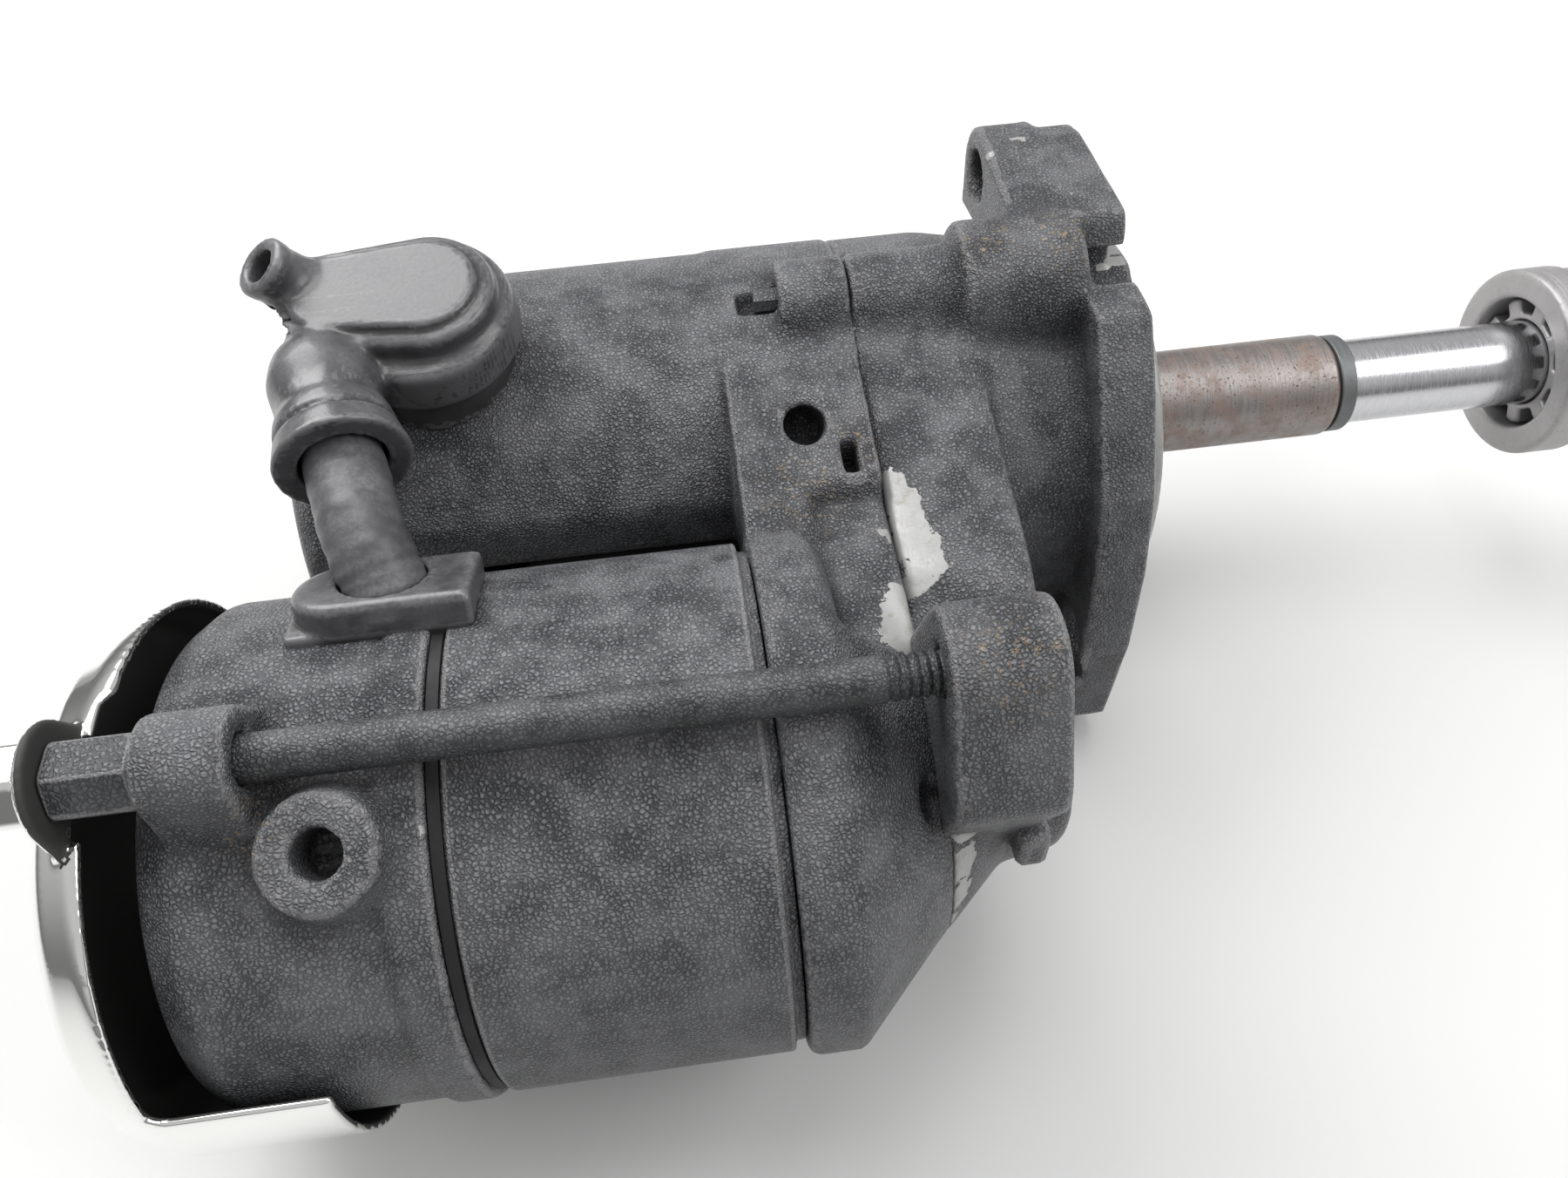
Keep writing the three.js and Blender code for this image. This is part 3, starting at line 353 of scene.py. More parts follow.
    def pipe(self, path: np.ndarray, radius: float) -> np.ndarray:
        """Round bar along a line of points, its ends rounded.

        Args:
            path: rows of x, y and z.
            radius: of the bar.
        Returns:
            Distances over the block.
        """
        near = np.full(self.solid.shape, 1e4, np.float32)
        for a, b in zip(path[:-1], path[1:]):
            e = b - a
            px, py, pz = self.x - a[0], self.y - a[1], self.z - a[2]
            t = np.clip((px * e[0] + py * e[1] + pz * e[2]) / (e @ e), 0, 1).astype(np.float32)
            near = np.minimum(near, (px - t * e[0]) ** 2 + (py - t * e[1]) ** 2
                              + (pz - t * e[2]) ** 2)
        return np.sqrt(near) - radius

    def join(self, *shapes: np.ndarray, blend: float = 2.0) -> None:
        """Adds shapes with fillets."""
        for shape in shapes:
            self.solid = soft_min(self.solid, shape, blend)

    def cut(self, *shapes: np.ndarray, blend: float = 0.5) -> None:
        """Takes shapes away and rounds the edges they leave."""
        for shape in shapes:
            self.solid = soft_max(self.solid, -shape, blend)

    def mark(self, name: Mark, spots: list) -> None:
        """Sets a mark that is 1 at each spot (x, y, z, radius) and 0 at its radius.

        Args:
            name: the mark.
            spots: rows of (x, y, z, radius).
        """
        total = np.zeros(self.solid.shape, np.float32)
        for x, y, z, radius in spots:
            away = np.sqrt((self.x - x) ** 2 + (self.y - y) ** 2 + (self.z - z) ** 2)
            total = np.maximum(total, 1 - away / radius)
        self.marks[name] = np.maximum(self.marks.get(name, 0), total)

    def skin(self) -> tuple[np.ndarray, np.ndarray, dict[Mark, np.ndarray]]:
        """Closed quad net over the solid.

        Every cell with corners both inside and outside gets one point, the mean of the
        places where its edges cross the surface.  Every crossed edge gets one quad of the
        four cells round it.  Edge and hollow marks come from the sum of the second
        differences of the distances, which is the surface's curvature.
        Returns:
            Points, quads and the marks at each point.
        """
        v = np.array(self.solid, np.float32)
        for axis in range(3):
            for end in (0, 1, -2, -1):
                face = tuple(end if k == axis else slice(None) for k in range(3))
                v[face] = np.maximum(v[face], 0.4 * self.step)
        shape = np.array(v.shape)
        cells = int(shape.prod())
        sums = np.zeros((4, cells))
        quads = []
        for axis in range(3):
            one, two = [slice(None)] * 3, [slice(None)] * 3
            one[axis], two[axis] = slice(0, -1), slice(1, None)
            a, b = v[tuple(one)], v[tuple(two)]
            hit = np.argwhere((a < 0) != (b < 0))
            wa, wb = a[tuple(hit.T)], b[tuple(hit.T)]
            place = hit.astype(float)
            place[:, axis] += wa / (wa - wb)
            ring = []
            for du, dw in ((-1, -1), (0, -1), (0, 0), (-1, 0)):
                cell = hit.copy()
                cell[:, (axis + 1) % 3] += du
                cell[:, (axis + 2) % 3] += dw
                flat = np.ravel_multi_index(cell.T, v.shape)
                ring.append(flat)
                for c in range(3):
                    sums[c] += np.bincount(flat, place[:, c], cells)
                sums[3] += np.bincount(flat, minlength=cells)
            ring = np.stack(ring, 1)
            quads.append(np.where((wa > 0)[:, None], ring[:, ::-1], ring))
        faces = np.concatenate(quads)
        used = np.flatnonzero(sums[3])
        points = (sums[:3, used] / sums[3, used]).T
        number = np.zeros(cells, np.int64)
        number[used] = np.arange(len(used))
        bend = np.zeros_like(v)
        for axis in range(3):
            bend += np.gradient(np.gradient(v, self.step, axis=axis), self.step, axis=axis)
        at = tuple(np.rint(points).astype(int).T)
        bend = bend[at]
        marks = {Mark.EDGE: np.clip(bend * 1.3 - 0.25, 0, 1),
                 Mark.HOLLOW: np.clip(-bend * 1.6 - 0.1, 0, 1)}
        marks.update({name: np.asarray(values)[at] for name, values in self.marks.items()})
        return self.low + points * self.step, number[faces], marks


# ---------------------------------------------------------------- meshes

def place_mesh(name: str, points: np.ndarray, faces: list, marks: dict | None = None,
               sharp: float | None = None) -> bpy.types.Object:
    """Stores points in millimetres as a mesh object at the origin.

    Args:
        name: piece name.
        points: rows of x, y and z in millimetres.
        faces: rows of point numbers.
        marks: values for each point by mark.
        sharp: angle in degrees over which an edge stays crisp.
    Returns:
        The new object.
    """
    data = bpy.data.meshes.new(name)
    rows = faces.tolist() if isinstance(faces, np.ndarray) else faces
    data.from_pydata((np.asarray(points, float) * 0.001).tolist(), [], rows)
    data.polygons.foreach_set("use_smooth", np.ones(len(data.polygons), bool))
    for mark, values in (marks or {}).items():
        layer = data.attributes.new(mark.value, "FLOAT", "POINT")
        layer.data.foreach_set("value", np.asarray(values, np.float32))
    if sharp is not None:
        data.set_sharp_from_angle(angle=float(np.radians(sharp)))
    data.update()
    piece = bpy.data.objects.new(name, data)
    bpy.context.scene.collection.objects.link(piece)
    return piece


def rounded(profile: list, radius: float, steps: int = 4) -> np.ndarray:
    """Replaces each inner corner of a profile by a curve.

    Each corner becomes a quadratic curve between points on its two sides, a radius away or
    less than half a side away, plus one point just outside either end to hold the flats flat.
    Args:
        profile: rows of (x, radius).
        radius: reach of each curve.
        steps: pieces in each curve.
    Returns:
        The longer profile.
    """
    p = np.array(profile, float)
    rows = [p[0]]
    for before, here, after in zip(p[:-2], p[1:-1], p[2:]):
        a, b = before - here, after - here
        la, lb = np.linalg.norm(a), np.linalg.norm(b)
        reach = min(radius, 0.45 * la, 0.45 * lb)
        a, b = a / la, b / lb
        t = np.linspace(0, 1, steps + 1)[:, None]
        curve = ((here + a * reach) * (1 - t) ** 2 + 2 * here * t * (1 - t)
                 + (here + b * reach) * t ** 2)
        rows += [here + a * reach * 1.1, *curve, here + b * reach * 1.1]
    rows.append(p[-1])
    return np.array(rows)


def ring_faces(rows: int, count: int, closed: bool) -> list:
    """Faces between neighbouring rings of points.

    Args:
        rows: how many rings.
        count: points in each ring.
        closed: True joins the last ring to the first; False fans each end ring to a pole,
            which are the two points after the rings.
    Returns:
        Quads, then the triangles of the two poles.
    """
    i = np.arange(rows if closed else rows - 1)[:, None] * count
    j = np.arange(count)[None]
    up = (i + count) % (rows * count)
    right = (j + 1) % count
    quads = np.stack([i + j, i + right, up + right, up + j], -1).reshape(-1, 4).tolist()
    if closed:
        return quads
    pole = rows * count
    top = pole - count
    low = np.stack([np.full(count, pole), right[0], j[0]], 1)
    high = np.stack([np.full(count, pole + 1), top + j[0], top + right[0]], 1)
    return quads + low.tolist() + high.tolist()


def turned_points(profile: np.ndarray, y: float, z: float,
                  count: int) -> tuple[np.ndarray, list]:
    """Sweeps a profile about a line along X.

    Point (i, j) is (x_i, y + r_i cos t_j, z + r_i sin t_j).  A profile that ends on the axis
    closes in one pole there; any other profile is closed on itself.
    Args:
        profile: rows of (x, radius).
        y: place of the axis.
        z: place of the axis.
        count: points round the axis.
    Returns:
        Points and faces.
    """
    x, r = profile.T
    closed = r[0] > 1e-6
    t = np.linspace(0, 2 * np.pi, count, endpoint=False)
    body = profile if closed else profile[1:-1]
    bx, br = body.T
    grid = np.stack([np.repeat(bx, count), (y + np.outer(br, np.cos(t))).ravel(),
                     (z + np.outer(br, np.sin(t))).ravel()], 1)
    if not closed:
        grid = np.concatenate([grid, [[x[0], y, z], [x[-1], y, z]]])
    return grid, ring_faces(len(body), count, closed)


def outward(points: np.ndarray, faces: list) -> list:
    """Faces turned so that the volume they enclose comes out positive.

    Args:
        points: rows of x, y and z.
        faces: rows of point numbers, 3 or 4 in each.
    Returns:
        The faces, reversed if the volume was negative.
    """
    a, b, c = (np.array([points[f[k]] for f in faces]) for k in (0, 1, 2))
    volume = np.einsum("ij,ij->i", a, np.cross(b, c)).sum()
    quads = [f for f in faces if len(f) == 4]
    if quads:
        q = np.array(quads)
        p = [points[q[:, k]] for k in (0, 2, 3)]
        volume += np.einsum("ij,ij->i", p[0], np.cross(p[1], p[2])).sum()
    return faces if volume > 0 else [f[::-1] for f in faces]


def turn(name: str, profile: list | np.ndarray, y: float = 0.0, z: float = 0.0,
         count: int = 128, marks: dict | None = None) -> bpy.types.Object:
    """Makes a turned piece from a ready profile."""
    points, faces = turned_points(np.asarray(profile, float), y, z, count)
    return place_mesh(name, points, outward(points, faces), marks, sharp=40)


def lead_path(count: int = 60, inside: bool = False) -> np.ndarray:
    """Middle line of the motor lead: a smooth curve through its five stations.

    Between stations b and c the curve is the cubic that leaves b along c - a and arrives at
    c along d - b, where a and d are the stations before and after.
    Args:
        count: how many points.
        inside: True adds a sixth station inside the end frame.
    Returns:
        Rows of x, y and z.
    """
    start = np.array([-125.0, *polar(51.2, 121.2)])
    arch = np.array([-119.6, *polar(47.4, 58.9, MOTOR_Y)])
    rows = [start, (start + arch) / 2, arch, np.array([-117.4, *polar(41.1, 63.4, MOTOR_Y)]),
            np.array([-116.6, *polar(36.9, GROMMET, MOTOR_Y)])]
    if inside:
        rows.append(np.array([-115.6, *polar(29.9, GROMMET, MOTOR_Y)]))
    p = np.array([2 * rows[0] - rows[1], *rows, 2 * rows[-1] - rows[-2]])
    t = np.linspace(0, len(rows) - 1, count)
    k = np.minimum(t.astype(int), len(rows) - 2)
    s = (t - k)[:, None]
    a, b, c, d = p[k], p[k + 1], p[k + 2], p[k + 3]
    return 0.5 * (2 * b + (c - a) * s + (2 * a - 5 * b + 4 * c - d) * s ** 2
                  + (3 * b - a - 3 * c + d) * s ** 3)


# ---------------------------------------------------------------- node trees

class Nodes:
    """Shorthand for laying out shader nodes."""

    def __init__(self, tree: bpy.types.NodeTree) -> None:
        """Keeps the tree and makes one source of coordinates in millimetres on demand."""
        self.tree = tree
        self._place = None

    def add(self, kind: str, *inputs: object, **settings: object) -> bpy.types.Node:
        """Adds a node, sets its properties, and fills its inputs in order (None skips one).

        Args:
            kind: Blender's name for the node.
            inputs: values or sockets for its inputs.
            settings: properties by name.
        Returns:
            The new node.
        """
        node = self.tree.nodes.new(kind)
        for key, value in settings.items():
            setattr(node, key, value)
        for socket, value in zip(node.inputs, inputs):
            self.feed(socket, value)
        return node

    def feed(self, socket: bpy.types.NodeSocket, value: object) -> None:
        """Links an output, or sets a plain value.

        Args:
            socket: the input.
            value: a socket, a plain value, or None to leave it.
        """
        if isinstance(value, bpy.types.NodeSocket):
            self.tree.links.new(value, socket)
        elif value is not None:
            socket.default_value = value

    def times(self, a: object, b: object) -> bpy.types.NodeSocket:
        """Product of two numbers."""
        return self.add("ShaderNodeMath", a, b, operation="MULTIPLY").outputs[0]

    def plus(self, a: object, b: object) -> bpy.types.NodeSocket:
        """Sum of two numbers."""
        return self.add("ShaderNodeMath", a, b, operation="ADD").outputs[0]

    def minus(self, a: object, b: object) -> bpy.types.NodeSocket:
        """First number less the second."""
        return self.add("ShaderNodeMath", a, b, operation="SUBTRACT").outputs[0]

    def place(self) -> bpy.types.NodeSocket:
        """Object coordinates in millimetres."""
        if self._place is None:
            where = self.add("ShaderNodeTexCoord").outputs["Object"]
            scale = self.add("ShaderNodeVectorMath", operation="SCALE")
            self.feed(scale.inputs[0], where)
            scale.inputs["Scale"].default_value = 1000.0
            self._place = scale.outputs[0]
        return self._place

    def noise(self, scale: object, detail: float = 3.0, rough: float = 0.55,
              at: object = None) -> bpy.types.NodeSocket:
        """Cloudy value; scale is in lumps per millimetre.

        Args:
            scale: lumps per millimetre.
            detail: how many finer layers.
            rough: weight of the finer layers.
            at: place, or None for object coordinates.
        Returns:
            The noise's value.
        """
        node = self.add("ShaderNodeTexNoise")
        self.feed(node.inputs["Vector"], at or self.place())
        self.feed(node.inputs["Scale"], scale)
        self.feed(node.inputs["Detail"], detail)
        self.feed(node.inputs["Roughness"], rough)
        return node.outputs[0]

    def step(self, value: object, low: float, high: float, to_low: float = 0.0,
             to_high: float = 1.0) -> bpy.types.NodeSocket:
        """Smooth step from one value to another.

        Args:
            value: what is compared.
            low: where the step starts.
            high: where it ends.
            to_low: result before it.
            to_high: result after it.
        Returns:
            The result.
        """
        node = self.add("ShaderNodeMapRange", value, low, high, to_low, to_high)
        node.interpolation_type = "SMOOTHSTEP"
        return node.outputs[0]

    def mix(self, share: object, a: object, b: object) -> bpy.types.NodeSocket:
        """Mixes two colours.

        Args:
            share: how much of the second colour.
            a: first colour.
            b: second colour.
        Returns:
            The mixed colour.
        """
        node = self.add("ShaderNodeMix", data_type="RGBA")
        for socket, value in zip((node.inputs[0], node.inputs[6], node.inputs[7]), (share, a, b)):
            self.feed(socket, value)
        return node.outputs[2]

    def mark(self, name: Mark) -> bpy.types.NodeSocket:
        """Value of a point attribute."""
        return self.add("ShaderNodeAttribute", attribute_name=name.value).outputs["Fac"]


def tint(colour: tuple, scale: float = 1.0) -> tuple:
    """Colour times a scale, with full alpha."""
    return (*(c * scale for c in colour), 1)


def new_group(name: str, inputs: dict, outputs: list) -> tuple[Nodes, dict, object]:
    """Starts a shader node group of numbers.

    Args:
        name: group name.
        inputs: number inputs by name with their usual values.
        outputs: names of the number outputs.
    Returns:
        The nodes, the input sockets by name, and the output node.
    """
    tree = bpy.data.node_groups.new(name, "ShaderNodeTree")
    for key, value in inputs.items():
        socket = tree.interface.new_socket(key, in_out="INPUT", socket_type="NodeSocketFloat")
        socket.default_value = value
    for key in outputs:
        tree.interface.new_socket(key, in_out="OUTPUT", socket_type="NodeSocketFloat")
    start = tree.nodes.new("NodeGroupInput")
    end = tree.nodes.new("NodeGroupOutput")
    return Nodes(tree), {key: start.outputs[key] for key in inputs}, end


def crackle_group() -> bpy.types.NodeTree:
    """Wrinkle paint: small swollen cells with fine cracks between them.

    Cell distance, bent by cloudy noise, gives the swelling; the value falls to 0 in cracks.
    Returns:
        The group's tree.
    """
    n, given, end = new_group("wrinkle", {"Cells": 1.6, "Bend": 0.5}, ["Height", "Crack"])
    wobble = n.add("ShaderNodeTexNoise")
    n.feed(wobble.inputs["Vector"], n.place())
    wobble.inputs["Scale"].default_value = 0.9
    offset = n.add("ShaderNodeVectorMath", wobble.outputs["Color"], operation="SCALE")
    n.feed(offset.inputs["Scale"], given["Bend"])
    moved = n.add("ShaderNodeVectorMath", n.place(), offset.outputs[0], operation="ADD").outputs[0]
    cells = n.add("ShaderNodeTexVoronoi", feature="DISTANCE_TO_EDGE")
    n.feed(cells.inputs["Vector"], moved)
    n.feed(cells.inputs["Scale"], given["Cells"])
    swell = n.step(cells.outputs["Distance"], 0.0, 0.3)
    fine = n.noise(3.2, 2.0, at=moved)
    n.feed(end.inputs["Height"], n.plus(n.times(swell, 0.55), n.times(fine, 0.9)))
    n.feed(end.inputs["Crack"], n.minus(1.0, swell))
    return n.tree


def wear_group() -> bpy.types.NodeTree:
    """Dust, rubbed edges, chips and dirt as masks.

    Dust lies on faces that look up; edges and chips follow the point marks, broken up by noise.
    Returns:
        The group's tree.
    """
    n, given, end = new_group("wear", {"Dust": 0.5, "Rub": 0.6, "Patch": 0.12},
                              ["Dust", "Rub", "Chip", "Dirt", "Cloud"])
    cloud = n.noise(given["Patch"], 5.0, 0.62)
    fine = n.noise(1.1, 4.0, 0.6)
    up = n.add("ShaderNodeSeparateXYZ", n.add("ShaderNodeNewGeometry").outputs["Normal"]).outputs[2]
    lying = n.times(n.step(up, 0.0, 1.0), n.step(cloud, 0.32, 0.66))
    n.feed(end.inputs["Dust"], n.times(lying, given["Dust"]))
    worn = n.plus(n.mark(Mark.EDGE), n.times(n.minus(fine, 0.5), 1.4))
    n.feed(end.inputs["Rub"], n.times(n.step(worn, 0.35, 0.8), given["Rub"]))
    jag = n.noise(0.5, 6.0, 0.68)
    chip = n.plus(n.mark(Mark.CHIP), n.times(n.minus(jag, 0.5), 1.0))
    n.feed(end.inputs["Chip"], n.step(chip, 0.36, 0.385))
    dirt = n.times(n.step(n.mark(Mark.DIRT), 0.0, 0.8), n.step(n.noise(0.9, 5.0, 0.78), 0.54, 0.66))
    n.feed(end.inputs["Dirt"], dirt)
    n.feed(end.inputs["Cloud"], cloud)
    return n.tree


def scratch_group() -> bpy.types.NodeTree:
    """Fine turning lines across the axis, pits and rust clouds on bare metal.

    Returns:
        The group's tree.
    """
    n, given, end = new_group("scratches", {"Lines": 2.5, "Clouds": 0.2}, ["Lines", "Pits", "Rust"])
    squeeze = n.add("ShaderNodeVectorMath", n.place(), (1.0, 0.06, 0.06), operation="MULTIPLY")
    n.feed(end.inputs["Lines"], n.noise(given["Lines"], 4.0, 0.7, at=squeeze.outputs[0]))
    n.feed(end.inputs["Pits"], n.step(n.noise(1.9, 3.0, 0.6), 0.60, 0.70))
    n.feed(end.inputs["Rust"], n.noise(given["Clouds"], 6.0, 0.68))
    return n.tree


# ---------------------------------------------------------------- finishes

@dataclass(frozen=True)
class Finish:
    """What all finishes share: a name, a colour and the shader's own plain values."""

    name: str
    colour: tuple = (0.1, 0.1, 0.1)
    metallic: float = 0.0
    roughness: float = 0.5
    coat: float = 0.0

    def start(self) -> tuple[bpy.types.Material, Nodes, bpy.types.Node]:
        """Makes the material with its plain values set.

        Returns:
            The material, its nodes and its shader.
        """
        material = bpy.data.materials.new(self.name)
        material.use_nodes = True
        nodes = Nodes(material.node_tree)
        shader = material.node_tree.nodes["Principled BSDF"]
        shader.inputs["Base Color"].default_value = tint(self.colour)
        shader.inputs["Metallic"].default_value = self.metallic
        shader.inputs["Roughness"].default_value = self.roughness
        shader.inputs["Coat Weight"].default_value = self.coat
        shader.inputs["Coat Roughness"].default_value = 0.15
        return material, nodes, shader

    @staticmethod
    def group(nodes: Nodes, name: str, **values: float) -> bpy.types.Node:
        """Adds a shared effect with this finish's own values.

        Args:
            nodes: the material's nodes.
            name: name of the group.
            values: the group's inputs by name.
        Returns:
            The group's node.
        """
        node = nodes.add("ShaderNodeGroup")
        node.node_tree = bpy.data.node_groups[name]
        for key, value in values.items():
            node.inputs[key].default_value = value
        return node

    @staticmethod
    def relief(nodes: Nodes, shader: bpy.types.Node, height: object, depth: float,
               strength: float = 1.0) -> None:
        """Joins a height to the shader's normal; depth is in millimetres.

        Args:
            nodes: the material's nodes.
            shader: the shader.
            height: the height's socket.
            depth: in millimetres.
            strength: of the bump.
        """
        bump = nodes.add("ShaderNodeBump")
        bump.inputs["Strength"].default_value = strength
        bump.inputs["Distance"].default_value = depth * 0.001
        nodes.feed(bump.inputs["Height"], height)
        nodes.feed(shader.inputs["Normal"], bump.outputs[0])


@dataclass(frozen=True)
class WrinklePaint(Finish):
    """Aged black wrinkle paint over light alloy, with dust, rubbed edges and chips."""

    cells: float = 1.6
    depth: float = 0.38
    dust: float = 0.5
    rub: float = 0.55
    dusty: tuple = (0.26, 0.258, 0.264)
    metal: tuple = (0.33, 0.33, 0.325)
    tarnish: tuple = (0.25, 0.235, 0.20)
    soil: tuple = (0.30, 0.225, 0.14)
    shadow: tuple = (0.02, 0.02, 0.022)

    def build(self) -> bpy.types.Material:
        """Lays out the paint."""
        material, n, shader = self.start()
        grain = self.group(n, "wrinkle", Cells=self.cells)
        wear = self.group(n, "wear", Dust=self.dust, Rub=self.rub)
        crack, high = grain.outputs["Crack"], grain.outputs["Height"]
        # Painted shade: the low parts of the wrinkle relief drop to a quarter of the paint colour.
        colour = n.mix(n.step(high, 0.5, 1.0), tint(self.colour, 0.24), tint(self.colour))
        colour = n.mix(n.times(n.step(wear.outputs["Cloud"], 0.35, 0.7), 0.45), colour,
                       tint(self.colour, 1.5))
        colour = n.mix(n.times(wear.outputs["Dust"], n.step(high, 0.3, 0.9)), colour,
                       tint(self.dusty))
        # Painted shade: hollows darkened towards the shadow colour.
        colour = n.mix(n.times(n.mark(Mark.HOLLOW), 0.75), colour, tint(self.shadow))
        colour = n.mix(wear.outputs["Rub"], colour, tint(self.dusty))
        colour = n.mix(wear.outputs["Dirt"], colour, tint(self.soil))
        stained = n.mix(n.step(n.noise(0.5, 5.0, 0.7), 0.5, 0.75), tint(self.metal),
                        tint(self.tarnish))
        colour = n.mix(wear.outputs["Chip"], colour, stained)
        n.feed(shader.inputs["Base Color"], colour)
        n.feed(shader.inputs["Metallic"], n.times(wear.outputs["Chip"], 0.25))
        dull = n.plus(wear.outputs["Dust"], n.times(crack, 0.3))
        rough = n.step(dull, 0.0, 0.8, self.roughness, self.roughness + 0.25)
        n.feed(shader.inputs["Roughness"], rough)
        bare = n.minus(1.0, wear.outputs["Chip"])
        height = n.plus(n.times(high, bare), n.times(bare, 0.8))
        self.relief(n, shader, height, self.depth)
        return material


@dataclass(frozen=True)
class WornMetal(Finish):
    """Bare metal with turning lines, pits and rust clouds."""

    rust: float = 0.5
    pits: float = 0.5
    lines: float = 2.5
    depth: float = 0.02
    stain: tuple = (0.20, 0.12, 0.08)
    pitted: tuple = (0.09, 0.075, 0.07)

    def build(self) -> bpy.types.Material:
        """Lays out the metal."""
        material, n, shader = self.start()
        marks = self.group(n, "scratches", Lines=self.lines)
        cloud = n.step(marks.outputs["Rust"], 0.62 - 0.25 * self.rust, 0.78 - 0.12 * self.rust)
        shade = n.step(marks.outputs["Lines"], 0.3, 0.7)
        colour = n.mix(shade, tint(self.colour, 0.82), tint(self.colour))
        colour = n.mix(n.times(cloud, self.rust), colour, tint(self.stain))
        colour = n.mix(n.times(marks.outputs["Pits"], self.pits), colour, tint(self.pitted))
        n.feed(shader.inputs["Base Color"], colour)
        shine = n.step(n.times(cloud, self.rust), 0.0, 1.0, self.metallic, self.metallic * 0.35)
        n.feed(shader.inputs["Metallic"], shine)
        rough = n.step(n.plus(n.times(cloud, self.rust), shade), 0.0, 1.6, self.roughness,
                       self.roughness + 0.22)
        n.feed(shader.inputs["Roughness"], rough)
        height = n.minus(marks.outputs["Lines"], n.times(marks.outputs["Pits"], self.pits))
        self.relief(n, shader, height, self.depth)
        return material


@dataclass(frozen=True)
class MirrorPlate(Finish):
    """Mirror plating, matte black where marked (painted shade inside the cup and a painted dark
    reflection on the tab fronts), with light haze and specks.
    """

    fleck: tuple = (0.34, 0.30, 0.25)
    shade_and_reflection: tuple = (0.035, 0.034, 0.033)

    def build(self) -> bpy.types.Material:
        """Lays out the plating."""
        material, n, shader = self.start()
        # Matte black where marked: painted shade and painted dark reflection.
        inside = n.step(n.mark(Mark.SHADE_AND_REFLECTION), 0.45, 0.55)
        haze = n.noise(0.08, 5.0, 0.6)
        speck = n.step(n.noise(0.9, 5.0, 0.75), 0.66, 0.72)
        plate = n.mix(n.times(speck, 0.5), tint(self.colour), tint(self.fleck))
        n.feed(shader.inputs["Base Color"], n.mix(inside, plate, tint(self.shade_and_reflection)))
        n.feed(shader.inputs["Metallic"], n.minus(1.0, inside))
        dull = n.plus(n.step(haze, 0.3, 0.8, self.roughness, self.roughness + 0.08),
                      n.times(inside, 0.6))
        n.feed(shader.inputs["Roughness"], dull)
        return material


@dataclass(frozen=True)
class Moulded(Finish):
    """Aged rubber or moulded plastic: dust in clouds, fine pores, scuffs."""

    dust: float = 0.5
    depth: float = 0.05
    dusty: tuple = (0.30, 0.29, 0.30)
    shadow: tuple = (0.02, 0.02, 0.02)

    def build(self) -> bpy.types.Material:
        """Lays out the rubber or plastic."""
        material, n, shader = self.start()
        wear = self.group(n, "wear", Dust=self.dust, Rub=0.35, Patch=0.16)
        pores = n.noise(1.6, 4.0, 0.65)
        colour = n.mix(n.step(wear.outputs["Cloud"], 0.3, 0.7), tint(self.colour, 0.6),
                       tint(self.colour))
        colour = n.mix(n.times(wear.outputs["Dust"], n.step(pores, 0.3, 0.7)), colour,
                       tint(self.dusty))
        colour = n.mix(wear.outputs["Rub"], colour, tint(self.dusty))
        # Painted shade: hollows darkened towards the shadow colour.
        colour = n.mix(n.times(n.mark(Mark.HOLLOW), 0.6), colour, tint(self.shadow))
        n.feed(shader.inputs["Base Color"], colour)
        n.feed(shader.inputs["Roughness"], n.step(wear.outputs["Cloud"], 0.3, 0.7, self.roughness,
                                                  self.roughness + 0.2))
        self.relief(n, shader, pores, self.depth)
        return material


